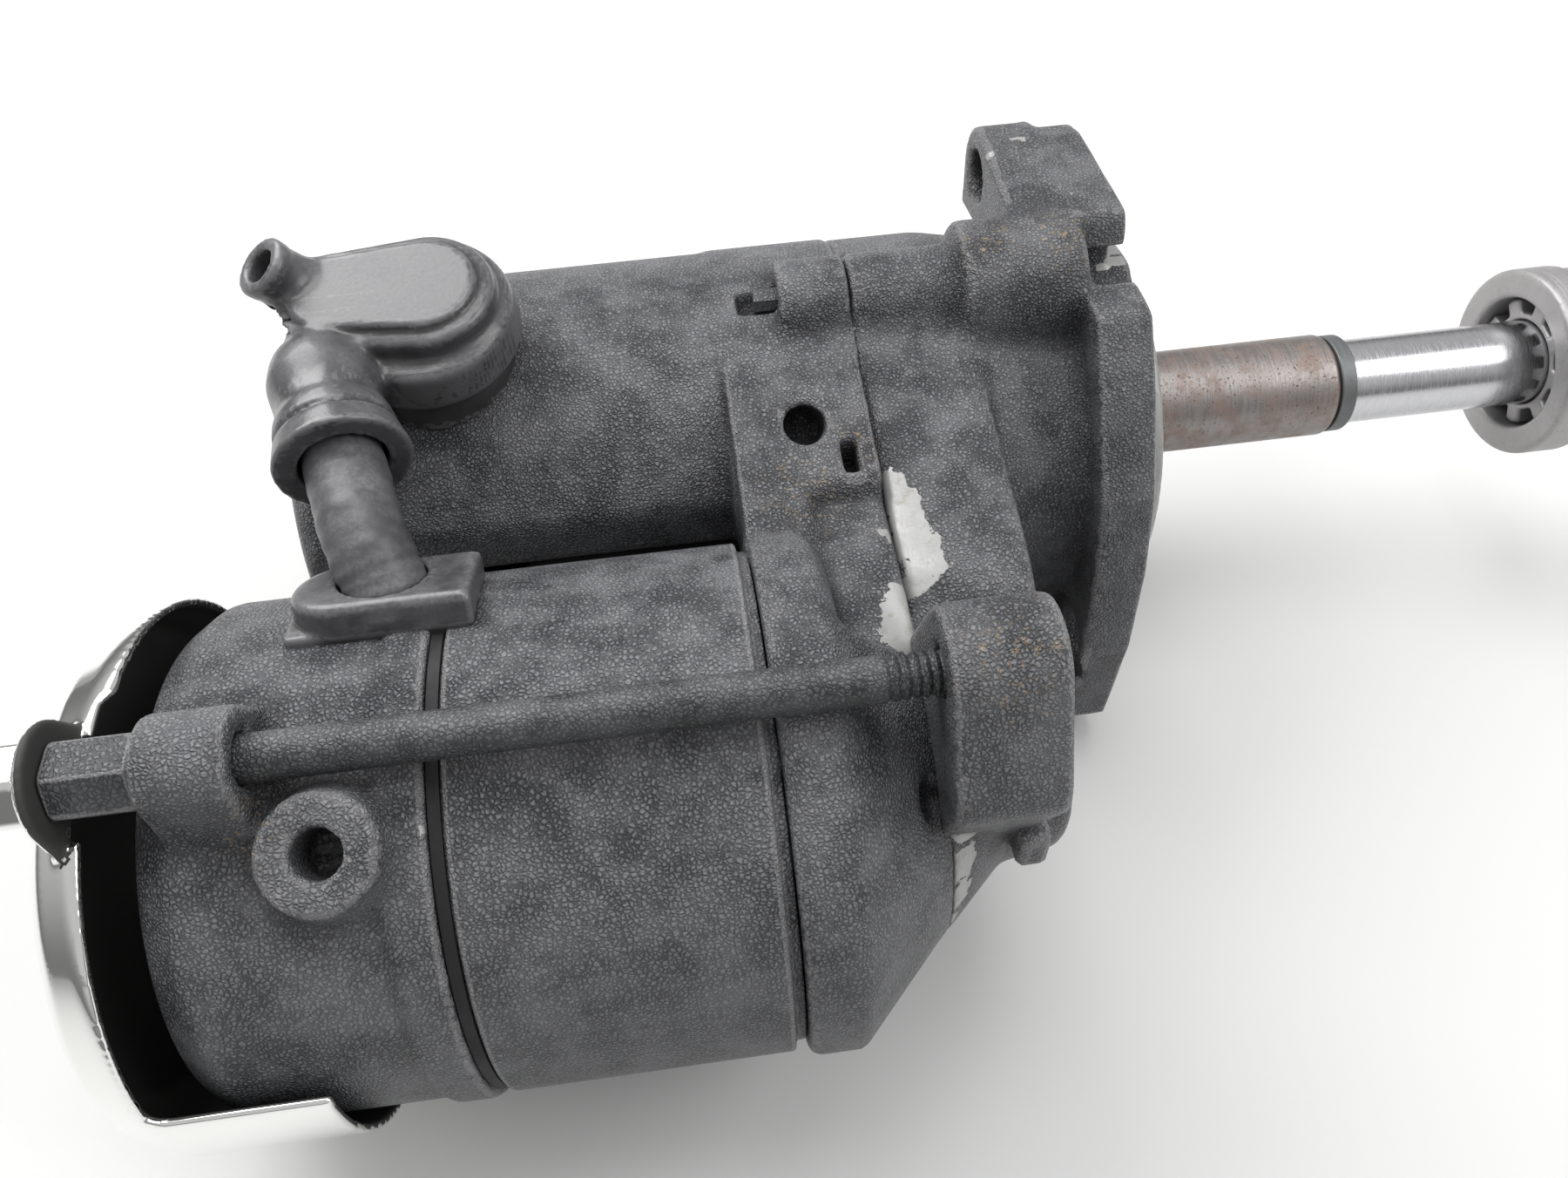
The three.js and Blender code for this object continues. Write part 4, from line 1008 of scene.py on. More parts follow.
class Finishes:
    """Every finish of the starter, built once."""

    def __init__(self) -> None:
        """Builds the shared effects and then the materials."""
        crackle_group()
        wear_group()
        scratch_group()
        self.paint = WrinklePaint("paint_wrinkle", (0.128, 0.131, 0.141), roughness=0.30).build()
        self.chrome = MirrorPlate("plate_mirror", (0.86, 0.86, 0.84), 1.0, 0.05).build()
        self.sleeve = WornMetal("steel_sleeve", (0.31, 0.285, 0.275), 0.8, 0.32, rust=0.8,
                                pits=0.9, depth=0.05, stain=(0.22, 0.15, 0.12)).build()
        self.polished = WornMetal("steel_ground", (0.64, 0.64, 0.66), 1.0, 0.17, rust=0.05,
                                  pits=0.02, lines=6.0, depth=0.001).build()
        self.rod = WrinklePaint("rod_paint", (0.060, 0.062, 0.066), roughness=0.34, depth=0.12,
                                dust=0.25).build()
        self.dull = WornMetal("zinc_dull", (0.45, 0.44, 0.44), 0.7, 0.48, rust=0.25, pits=0.4,
                              depth=0.03, stain=(0.26, 0.22, 0.18)).build()
        self.bolt = WornMetal("bolt_dark", (0.17, 0.18, 0.18), 0.6, 0.42, rust=0.3, pits=0.3,
                              depth=0.03, stain=(0.10, 0.08, 0.07)).build()
        self.steel = WornMetal("steel_plain", (0.56, 0.57, 0.58), 1.0, 0.3, rust=0.05,
                               pits=0.1).build()
        self.copper = WornMetal("copper_dull", (0.60, 0.36, 0.22), 0.9, 0.38, rust=0.3, pits=0.1,
                                stain=(0.22, 0.12, 0.07)).build()
        self.boot = Moulded("rubber_boot", (0.080, 0.078, 0.084), roughness=0.28, coat=0.3,
                            dust=0.3, dusty=(0.2, 0.195, 0.2)).build()
        self.lead = Moulded("rubber_lead", (0.085, 0.085, 0.092), roughness=0.38, coat=0.1,
                            dust=0.5, dusty=(0.2, 0.195, 0.2)).build()
        self.seal = Moulded("rubber_seal", (0.010, 0.010, 0.011), roughness=0.6, dust=0.0,
                            dusty=(0.03, 0.03, 0.03)).build()
        self.plastic = Moulded("moulded_plastic", (0.055, 0.055, 0.058), roughness=0.45,
                               dust=0.4).build()
        self.carbon = Moulded("brush_carbon", (0.045, 0.045, 0.048), roughness=0.6,
                              dust=0.1).build()


@dataclass
class Assembly:
    """What every sub-assembly shares."""

    finishes: Finishes

    def dress(self, piece: bpy.types.Object, material: bpy.types.Material, body: str, slot: Slot,
              *nodes: str) -> bpy.types.Object:
        """Gives a piece its material and its body, and hides the CAD nodes it stands for.

        Args:
            piece: the piece.
            material: its finish.
            body: the body it rides on.
            slot: the record's slot; not used.
            nodes: the CAD nodes it stands for.
        Returns:
            The piece.
        """
        piece.data.materials.append(material)
        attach(piece, body)
        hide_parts(*nodes)
        LOG.info("%s: %d faces on %s", piece.name, len(piece.data.polygons), body)
        return piece

    def cast(self, name: str, block: Block, material: bpy.types.Material, slot: Slot, *nodes: str,
             body: str = "housing") -> bpy.types.Object:
        """Skins a block and dresses the piece."""
        points, faces, marks = block.skin()
        return self.dress(place_mesh(name, points, faces, marks), material, body, slot, *nodes)


# ---------------------------------------------------------------- castings

@dataclass
class GearHousing(Assembly):
    """Middle casting: solenoid barrel, gear case and motor register."""

    rear: float = -131.0
    front: float = -46.1
    yoke_front: float = -68.0
    barrel: float = 36.0
    step: float = 0.85

    def build(self) -> None:
        """Builds the casting and its fillets, pockets and openings."""
        b = Block((self.rear, -111.5, -39.5), (self.front, 37.5, 45), self.step)
        web0 = self.yoke_front + 0.2
        barrel = b.rod(self.rear, self.front, self.barrel, edge=1.0)
        flat = b.box((self.rear - 9, -80, -70), (web0, -30.6, 70), 0.1)
        b.join(soft_max(barrel, -flat, 1.2))
        b.join(b.turned([(-67.8, 37.6), (-66.6, 38.5), (-60, 38.5), (-46.1, 24.5)], MOTOR_Y,
                        smooth=1.6),
               b.shape(hull(circle(MOTOR_Y, 0, 24.4), circle(0, 0, 36)), web0, self.front),
               blend=1.4)
        b.join(b.rod(-57.6, self.front, 7.4, *polar(*RIDGE), edge=1.2),
               b.rod(-58.5, self.front, 7.4, *SCREWS[1], edge=1.2), blend=1.6)
        shelf = hull(circle(-30, 22, 4), circle(-28.6, 16.5, 5), circle(-12, 20, 8))
        b.join(b.shape(shelf, web0, self.front), blend=2.4)
        self.openings(b)
        b.mark(Mark.CHIP, [(-47.2, -58.8, 26.4, 4.2), (-47.6, -62.4, 26.0, 5.6),
                           (-48.2, -66.0, 25.6, 5.2), (-46.3, -47.5, 27.0, 2.4)])
        b.mark(Mark.DIRT, [(-58, -40, 30, 9), (-48, -31, 31, 6)])
        self.cast("gear_housing_cast", b, self.finishes.paint, Slot.PAINT, "gear_housing")

    def openings(self, b: Block) -> None:
        """Cuts the chamber, the gear case, the registers, the pocket and the small holes.

        Args:
            b: the block that is worked on.
        """
        b.cut(b.rod(self.rear - 4, -66, 31.4), b.rod(-69.5, -65.8, 33, MOTOR_Y, edge=0.2),
              blend=0.8)
        b.cut(b.rod(-60, -44, 28.5, edge=0.2),
              b.shape(hull(circle(*IDLER, 21.6), circle(MOTOR_Y, 0, 10.5)), -60, -44, 0.2))
        b.cut(b.rod(-70, -55, 10.6), b.rod(-63.8, -55, 4.2, *IDLER), b.rod(-69, -61, 13.2, MOTOR_Y),
              b.rod(-66, -50, 7.4, MOTOR_Y))
        vent = b.strut((-56.4, *polar(33.2, 131)), (-56.4, *polar(50, 131)), 3.3)
        drain = b.strut((-56, *polar(20, 250)), (-56, *polar(50, 250)), 2.2)
        pocket = b.box((-51.6, -37, 24.5), (-49.2, -31, 52), 0.8)
        recess = b.box((-57.4, -68, 27.2), (-36, -39.6, 60), 1.5)
        b.cut(vent, drain, pocket, blend=0.7)
        b.cut(recess, blend=2.4)
        b.cut(*(b.rod(-64, -40, 2.4, y, z) for y, z in SCREWS))
        for (x, angle), radius in ((BATTERY, 7), (MOTOR_STUD, 3.4)):
            b.cut(b.strut((x, *polar(28, angle)), (x, *polar(50, angle)), radius))
        b.cut(b.box((-50.2, -90.6, 18.5), (-45.0, -86.0, 23.5), 1.0), blend=0.8)


@dataclass
class DriveHousing(Assembly):
    """Front casting: gear case, flange, pilot, ears and rod bosses."""

    rear: float = -45.9
    step: float = 0.8

    def build(self) -> None:
        """Builds the casting, its flange and its bosses."""
        b = Block((-47.8, -108.5, -50), (4.2, 40, 53), self.step)
        b.join(b.turned([(-45.9, 24.5), (-36, 15.5), (-27, 14), (-25.5, 12)], MOTOR_Y, smooth=2.2))
        web = hull(circle(MOTOR_Y, 0, 12.5), circle(IDLER[0], 0, 25.5), circle(0, 0, 34))
        b.join(b.shape(web, self.rear, -26, 2.0), blend=2.2)
        b.join(b.turned([(-45.9, 36), (-30, 36), (-14, 33), (-4, 33)], smooth=3), blend=1.5)
        self.bosses(b)
        self.flange(b)
        self.openings(b)
        self.wear(b)
        self.cast("drive_housing_cast", b, self.finishes.paint, Slot.PAINT, "drive_housing")

    def bosses(self, b: Block) -> None:
        """Adds the rod bosses, kept clear of the other casting, the ridges and the foot.

        Args:
            b: the block that is worked on.
        """
        rods = np.full_like(b.solid, 99.0)
        for i, (y, z) in enumerate(BOLTS):
            s = 1 if i == 0 else -1
            plan = hull(circle(y, z, 8.4), circle(y - 7.5 * s, z - 11 * s, 7.2),
                        circle(MOTOR_Y, 0, 12), circle(y + 8 * s, z - 16 * s, 8))
            rods = np.minimum(rods, b.shape(plan, -47.6 if i == 0 else self.rear, -33, 1.2))
        case = hull(circle(MOTOR_Y, 0, 24.9), circle(0, 0, 36.4))
        room = np.minimum(b.turned([(-50, 29.5), (-45.9, 25)], MOTOR_Y, edge=0.1, smooth=0.1),
                          b.shape(case, -50, self.rear, 0.1))
        rods = soft_max(rods, -room, 0.3)
        b.join(rods, blend=1.8)
        b.join(b.rod(self.rear, -27, 7.4, *polar(*RIDGE), edge=1.2),
               b.rod(-28, -7.6, 10.8, *polar(*RIDGE), edge=1.6),
               b.rod(self.rear, -5, 7.4, *SCREWS[1], edge=1.2), blend=2.4)
        b.join(b.box((-36, -92, 4), (-31.5, -80, 12), 1.0), blend=1.2)

    def flange(self, b: Block) -> None:
        """Adds the flange plate, the pilot and the upper ear.

        Args:
            b: the block that is worked on.
        """
        plan = np.array([[-20, 40.5], [-29, 30], [-38, 16], [-42.5, 2], [-45, -16], [-44, -40],
                         [-40, -47], [-28, -46], [-8, -42], [12, -38], [28, -30], [37, -16],
                         [39, 0], [38, 14], [35, 24], [34.5, 39], [30, 43.5], [24, 45.4],
                         [-2, 47], [-6.5, 33], [-11, 39]], float)
        plate = b.prism(soft_max(b.outline(plan), b.outline(hull(plan)), 4.0), -9, 0, 0.8)
        ear = hull(circle(*EAR, 8.4), np.array([[-1, 44], [-6.5, 33], [33, 26], [12, 30]], float))
        b.join(plate, b.shape(ear, -18, -8, 1.0), blend=2.2)
        b.join(b.rod(-1, 4, 33, edge=0.8), blend=0.3)

    def openings(self, b: Block) -> None:
        """Cuts the gear case, the bearing seats and the holes.

        Args:
            b: the block that is worked on.
        """
        b.cut(b.rod(-47, -29, 28.5, edge=0.2),
              b.shape(hull(circle(*IDLER, 21.6), circle(MOTOR_Y, 0, 9.0)), -48, -43.5, 0.2),
              b.rod(-46, -41.6, 4.2, *IDLER), b.rod(-32, -10, 18.2), b.rod(-12, 6, 11.5),
              b.rod(-2, 6, 13.6))
        b.cut(b.rod(-20, 2, 4.6, *EAR), b.rod(-14, 2, 4.6, *MOUNT), b.rod(-18, -7.5, 8.4, *MOUNT))
        b.cut(*(b.rod(-50, -35, 3.2, y, z, edge=0.2) for y, z in BOLTS))
        for y, z in SCREWS:
            b.cut(b.rod(-47, -20, 2.4, y, z), b.rod(-20.4, 5, 4.6, y, z))

    def wear(self, b: Block) -> None:
        """Marks where paint is chipped, where metal is machined, and where dirt lies.

        Args:
            b: the block that is worked on.
        """
        chips = [(-44.8, -37.6, 27.6, 4.0), (-44.2, -41.0, 27.0, 5.4), (-43.8, -44.6, 26.4, 5.6),
                 (-43.0, -48.2, 25.6, 6.2), (-41.8, -51.4, 24.8, 5.4), (-44.0, -54.4, 24.2, 4.6),
                 (-44.6, -89.6, 14.8, 4.2), (-44.6, -92.2, 9.6, 4.6), (-45.0, -94.4, 4.4, 4.0),
                 (-45.4, -96.0, -1.0, 2.0), (-18, 19.6, 44.6, 1.8), (-11.8, 22.2, 45.6, 2.2),
                 (-8.6, 5.4, 46.4, 1.8), (-2.2, 7.2, 46.6, 1.6), (-47.4, -73.4, 47.6, 1.5),
                 (-34, -75, 38, 2.0), (-9, -29, 30, 1.8), (0, 34, 40, 2.4)]
        b.mark(Mark.CHIP, chips)
        r = b.around(0, 0)
        face = (b.z < 30) & (b.x > -0.55)
        pilot = (b.x > -1.5) & (r > 32.6) & (r < 33.4)
        machined = np.where(face | pilot, 1.0, 0.0).astype(np.float32)
        b.marks[Mark.CHIP] = np.maximum(b.marks[Mark.CHIP], machined)
        b.mark(Mark.DIRT, [(-11, -5, 45, 9), (-24, -4, 44, 7), (-40, -86, 47, 10),
                           (-34, -80, 45, 6), (-38, 22, 30, 8)])


@dataclass
class Motor(Assembly):
    """Yoke, end frame, seal and the long rods with their hardware."""

    radius: float = 37.5
    yoke: tuple = (-110.5, -68.0)

    def build(self) -> None:
        """Builds every motor piece that shows."""
        self.yoke_tube()
        self.end_frame()
        self.rods()
        self.hardware()
        seal = turn("joint_seal", rounded([(-110.9, 36.3), (-110.9, 37.0), (-109.3, 37.0),
                                           (-109.3, 36.3), (-110.9, 36.3)], 0.1, 2)[:-1], MOTOR_Y)
        self.dress(seal, self.finishes.seal, "housing", Slot.RUBBER, "rear_joint_seal")

    def yoke_tube(self) -> None:
        """Drawn steel tube with a stepped lip at either end."""
        a, c = self.yoke
        r, lip, bore = self.radius, self.radius - 1.4, 33.0
        ring = [(a, (bore + lip) / 2), (a, lip), (a + 1.4, lip), (a + 1.6, r), (a + 3, r),
                (c - 3, r), (c - 1.6, r), (c - 1.4, lip), (c, lip), (c, bore), (a, bore),
                (a, (bore + lip) / 2)]
        profile = rounded(ring, 0.5)[:-1]
        x, radius = profile.T
        edge = np.where((np.abs(x - a - 1.6) < 0.6) | (np.abs(x - c + 1.6) < 0.6), 0.8, 0.0)
        edge = np.repeat(np.where(radius > lip, edge, 0.0), 160)
        piece = turn("yoke_tube", profile, MOTOR_Y, count=160, marks={Mark.EDGE: edge})
        self.dress(piece, self.finishes.paint, "housing", Slot.PAINT, "yoke")

    def end_frame(self) -> None:
        """Rear casting with rod ears, the ground boss and the lead's way in."""
        b = Block((-148, -109.9, -48.6), (-111, -34, 47.7), 0.8)
        b.join(b.turned([(-148, 30.1), (-146.6, 34.1), (-142, 37.1), (-117.5, 37.1), (-116.5, 38),
                         (-111.1, 38)], MOTOR_Y, smooth=1.2))
        for y, z in BOLTS:
            plan = hull(circle(y, z, 6.6), circle(MOTOR_Y + (y - MOTOR_Y) * 0.84, z * 0.84, 8.4))
            b.join(b.shape(plan, -141.5, -130.5, 0.9), blend=2.2)
        x, angle = GROUND
        b.join(b.strut((x, *polar(33, angle, MOTOR_Y)), (x, *polar(42.6, angle, MOTOR_Y)),
                       9.2, 7.2, 0.7), blend=1.8)
        b.cut(b.rod(-140, -105, 33.5, MOTOR_Y), b.rod(-142.4, -138, 30.1, MOTOR_Y), blend=0.6)
        seat = soft_max(b.rod(-144, -136, 14.5, MOTOR_Y), -b.rod(-145, -130, 11.2, MOTOR_Y), 0.4)
        b.join(seat, blend=0.6)
        b.cut(b.strut((x, *polar(34.5, angle, MOTOR_Y)), (x, *polar(46, angle, MOTOR_Y)), 3.1))
        b.cut(b.pipe(lead_path(16, True)[7:].astype(np.float32), LEAD_BORE))
        b.cut(*(b.rod(-150, -128, 3.2, y, z, edge=0.2) for y, z in BOLTS))
        b.mark(Mark.CHIP, [(-141.2, -88, 45, 2.2), (-111.3, -90, 33.5, 1.6),
                           (-122, -96, 38.6, 1.6)])
        b.mark(Mark.DIRT, [(-130, -88, 36, 8)])
        self.cast("end_frame_cast", b, self.finishes.paint, Slot.PAINT, "end_frame")

    def rods(self) -> None:
        """Long rods, threaded at the front and bevelled at both ends."""
        for i, (y, z) in enumerate(BOLTS):
            x = np.concatenate([[-145.1, -145.1, -144.7], np.linspace(-144, -54.6, 60),
                                np.arange(-54.4, -37.6, 0.156), [-37.2, -37.2]])
            r = np.where(x > -54.5, thread(x, 3.0), 3.0)
            r[[0, -1]] = 0
            r[1], r[-2] = 2.6, 2.3
            piece = turn(f"long_rod_{i + 1}", np.stack([x, r], 1), y, z, 40)
            self.dress(piece, self.finishes.rod, "housing", Slot.DARK_STEEL,
                       f"through_bolt_{i + 1}")

    def hardware(self) -> None:
        """Spacers and acorn nuts of the rear cover."""
        dome = [(-162, 1.2), (-161.2, 3), (-159.6, 4.4), (-157.6, 4.8)]
        for i, (y, z) in enumerate(BOLTS):
            low, high = (y - 6.2, z - 6.2), (y + 6.2, z + 6.2)
            b = Block((-160, *low), (-141.6, *high), 0.3)
            b.join(b.hexagon(-151.8, -141.7, 5.2, 5.15, y, z), b.rod(-160, -151, 2.4, y, z),
                   blend=0.3)
            b.cut(b.rod(-145.5, -140, 3.2, y, z, 0.1))
            self.cast(f"cover_spacer_{i + 1}", b, self.finishes.rod, Slot.DARK_STEEL,
                      f"standoff_{i + 1}")
            b = Block((-162, *low), (-153.6, *high), 0.3)
            b.join(b.hexagon(-158.2, -153.6, 5.6, 5.45, y, z, 0.9),
                   b.turned(dome, y, z, smooth=1.4), blend=0.3)
            b.cut(b.rod(-160.6, -150, 2.6, y, z, 0.2))
            self.cast(f"acorn_nut_{i + 1}", b, self.finishes.chrome, Slot.CHROME,
                      f"cover_nut_{i + 1}")


@dataclass
class RearCover(Assembly):
    """Mirror plated cup over the rear end, cut away in wide windows."""

    axis: float = MOTOR_Y - 0.8
    gauge: float = 1.2

    def sector(self, b: Block, low: float, high: float) -> np.ndarray:
        """Wedge of the cup between two angles about the motor's axis.

        Args:
            b: the block that is worked on.
            low: first angle in degrees.
            high: last angle in degrees.
        Returns:
            Distances over the points in y and z.
        """
        steps = np.linspace(low, high, 9)
        fan = np.array([[MOTOR_Y, 0], *[polar(90, a, MOTOR_Y) for a in steps]])
        return b.outline(fan)

    def build(self) -> None:
        """Builds the cup, its tabs and its windows."""
        b = Block((-160, -113.5, -49.5), (-128.4, -33, 49.5), 0.55)
        full = b.turned([(-160, 30.4), (-157.4, 36.8), (-151, 39.4), (-120, 39.4)], self.axis,
                        edge=0.9, smooth=3.0)
        shell = soft_max(full, -(full + self.gauge), 0.1)
        shell = soft_max(shell, np.broadcast_to(b.x + 128.4, b.solid.shape), 0.3)
        for low, high, start in ((86, 168, -150.4), (-62, 96, -149.0), (-96, -58, -151.0)):
            window = b.prism(self.sector(b, low, high) - 1.5, start, -110, 2.5)
            shell = soft_max(shell, -window, 0.4)
        tabs = np.full_like(b.solid, 99.0)
        for y, z in BOLTS:
            plan = hull(circle(y, z, 7.4), circle(MOTOR_Y + (y - MOTOR_Y) * 0.72, z * 0.72, 10))
            tabs = np.minimum(tabs, b.shape(plan, -153.4, -152.0, 0.4))
            shell = soft_max(shell, -b.rod(-151.9, -118, 7.4, y, z, 0.2), 0.3)
            shell = soft_max(shell, -b.rod(-165, -153.5, 6.3, y, z, 0.2), 0.3)
        tabs = soft_max(tabs, -(full + 0.7), 0.2)
        for y, z in BOLTS:
            tabs = soft_max(tabs, -b.rod(-156, -150, 2.7, y, z, 0.1), 0.2)
        b.join(shell)
        b.join(tabs, blend=0.6)
        notch = b.box((-150.2, -112.6, 10.5), (-147.2, -104, 16.5), 0.5)
        bite = b.strut((-129.6, *polar(34, 262, self.axis)), (-129.6, *polar(48, 262, self.axis)),
                       4.6)
        b.cut(notch, bite, blend=0.2)
        # Marked for matte black: painted shade inside the cup and a painted dark reflection on the
        # tab fronts.
        front = (tabs < 0.5) & (b.x > -152.6) & (full > -0.4)
        shade_and_reflection = np.maximum(np.clip(-full / self.gauge, 0, 1), front).astype(np.float32)
        b.marks[Mark.SHADE_AND_REFLECTION] = shade_and_reflection
        self.cast("rear_cover_plate", b, self.finishes.chrome, Slot.CHROME, "chrome_cover")


@dataclass
class Solenoid(Assembly):
    """Rear cover of the solenoid, the terminals and the rubber that covers them."""

    top: float = 17.4
    barrel: float = 36.0
    ears: tuple = (35, 215, 305)

    def over(self, x: float, height: float, angle: float) -> tuple:
        """Point at a height over the barrel."""
        return (x, *polar(self.barrel + height, angle))

    def drum(self, b: Block, low: float, high: float, radius: float, end: float | None = None,
             x: float = BATTERY[0], edge: float = 0.6) -> np.ndarray:
        """Bar along the battery terminal's axis."""
        return b.strut(self.over(x, low, BATTERY[1]), self.over(x, high, BATTERY[1]), radius,
                       end, edge)

    def stud(self, b: Block, low: float, high: float, radius: float,
             edge: float = 0.5) -> np.ndarray:
        """Bar along the motor terminal's axis."""
        x, angle = MOTOR_STUD
        return b.strut(self.over(x, low, angle), self.over(x, high, angle), radius, None, edge)

    def oval(self, b: Block, low: float, high: float, grow: float, edge: float) -> np.ndarray:
        """Long round plateau over both terminals, square to the battery terminal's axis.

        Its radius goes from 9.2 at one end to 10.6 at the other, plus grow.
        Args:
            b: the block that is worked on.
            low: lowest height over the barrel.
            high: highest height.
            grow: added to the radius.
            edge: radius of its edges.
        Returns:
            Distances over the block.
        """
        c, s = np.cos(np.radians(BATTERY[1])), np.sin(np.radians(BATTERY[1]))
        h, v = b.y * c + b.z * s - self.barrel, b.z * c - b.y * s
        t = np.clip((b.x + 123.6) / 12.6, 0, 1)
        side = np.hypot(b.x + 123.6 - 12.6 * t, v) - (9.2 + 1.4 * t + grow)
        return capped(side, np.abs(h - (low + high) / 2) - (high - low) / 2, edge)

    def build(self) -> None:
        """Builds the cover, the base, the boot, the lead and the grommet."""
        self.cover()
        self.base()
        self.boot()
        self.lead()
        self.grommet()

    def cover(self) -> None:
        """Pressed rear cap with three screw ears."""
        b = Block((-139, -31, -36), (-128, 36, 36), 0.7)
        cap = b.turned([(-139, 29), (-137.5, 33), (-135, 35), (-131.2, 35.4)], smooth=1.4)
        b.join(soft_max(cap, -(b.y + 30.6), 1.0))
        b.join(soft_max(b.rod(-132, -128, 30.8, edge=0.3), -(b.y + 30.4), 0.5), blend=0.1)
        b.cut(b.rod(-135.5, -120, 28, edge=0.6))
        spots = [polar(23, angle) for angle in self.ears]
        b.join(*(b.rod(-136, -130, 5, y, z) for y, z in spots), blend=0.5)
        b.cut(*(b.rod(-145, -120, 2.2, y, z, 0.1) for y, z in spots), blend=0.2)
        self.cast("solenoid_cap", b, self.finishes.paint, Slot.PAINT, "solenoid_cover")

    def base(self) -> None:
        """Moulded base under the battery terminal and the motor terminal."""
        b = Block((-132.5, -28, 25), (-99, 8, 47), 0.6)
        clear = 36.25 - b.around(0, 0)
        foot = soft_min(self.drum(b, -7, 9.6, 13, 12.4), self.stud(b, -7, 4.6, 6.4), 0.5)
        b.join(soft_max(foot, clear, 0.1))
        b.join(self.drum(b, -6, 4, 6.7), self.stud(b, -4, 3, 3.1), blend=0.1)
        b.cut(self.drum(b, -16, 24, 4.2), self.stud(b, -16, 24, 2.2),
              self.stud(b, 4.6, 24, 4.4), blend=0.2)
        self.cast("terminal_foot", b, self.finishes.plastic, Slot.PLASTIC, "terminal_base")

    def boot(self) -> None:
        """Moulded cap over both terminals, its round bulb leading into the sleeve's skirt."""
        b = Block((-140, -53, 31), (-96.5, 8, 61), 0.5)
        path = lead_path(100)

        def on(share: float) -> tuple:
            """Point at a share of the lead's length."""
            return tuple(path[int(share * 99)])

        b.join(self.drum(b, 4.8, self.top - 5, 14.6, 14.0, edge=1.6))
        b.join(self.oval(b, self.top - 8, self.top - 1.3, 0.0, 1.4), blend=2.0)
        b.join(self.oval(b, self.top - 8, self.top, -2.4, 0.7), blend=0.8)
        self.nozzle(b)
        b.join(b.ball(self.over(-126.4, 13, 115.1), 7.5),
               b.strut(self.over(-126.4, 12.4, 115), on(0.14), 7.4, 8.0, 1.5), blend=2.0)
        b.join(b.strut(on(0.06), on(0.24), 8.0, 9.8, 0.7), blend=1.4)
        groove = b.strut(on(0.125), on(0.135), 9.0, 9.0, 0.1)
        b.cut(np.maximum(groove, -(b.strut(on(0.1), on(0.16), 8.0, 8.4, 0.1))), blend=0.6)
        b.cut(self.drum(b, 0, self.top - 6.4, 13.3),
              self.drum(b, self.top - 7, self.top - 1.8, 7.8, x=MOTOR_STUD[0]),
              b.strut(self.over(-125, self.top - 5.6, BATTERY[1]),
                      self.over(-112, self.top - 5.4, BATTERY[1]), 3.6),
              b.strut((-127.8, -5.0, 47.3), (-136.4, -8.1, 60.1), 2.6),
              self.stud(b, -6, 11.6, 6.4), b.rod(-170, -80, 36.3), blend=0.4)
        b.cut(b.pipe(lead_path(14).astype(np.float32), LEAD_BORE), blend=0.4)
        self.cast("boot_moulding", b, self.finishes.boot, Slot.RUBBER, "terminal_boot")

    def nozzle(self, b: Block) -> None:
        """Adds the short open spout that leans back over the motor terminal, and its lip."""
        b.join(b.strut((-127.4, -4.8, 46.6), (-133.4, -7.0, 55.6), 4.9, 4.3, 0.6), blend=1.6)
        b.join(b.strut((-132.2, -6.6, 53.8), (-133.4, -7.0, 55.6), 4.6, 4.7, 0.5), blend=0.5)

    def lead(self) -> None:
        """Round lead swept along its path.

        Rings stand square to the path; their two directions come from the path's own
        direction and one fixed vector, so the tube doesn't twist.  Ends close in poles.
        """
        path, count = lead_path(90), 40
        along = np.gradient(path, axis=0)
        along /= np.linalg.norm(along, axis=1, keepdims=True)
        side = np.cross(along, [1.0, 0.0, 0.0])
        side /= np.linalg.norm(side, axis=1, keepdims=True)
        up = np.cross(side, along)
        t = np.linspace(0, 2 * np.pi, count, endpoint=False)
        s = np.linspace(0, 1, len(path))
        radius = 5.7 - 0.06 * (1 + np.sin(s * 37)) - 0.05 * np.sin(s * 91 + 1)
        radius[[0, -1]] -= 0.5
        ring = np.cos(t)[None, :, None] * side[:, None] + np.sin(t)[None, :, None] * up[:, None]
        points = (path[:, None] + radius[:, None, None] * ring).reshape(-1, 3)
        points = np.concatenate([points, path[[0]], path[[-1]]])
        faces = outward(points, ring_faces(len(path), count, False))
        piece = place_mesh("lead_sleeve", points, faces, sharp=50)
        self.dress(piece, self.finishes.lead, "housing", Slot.RUBBER, "motor_lead")

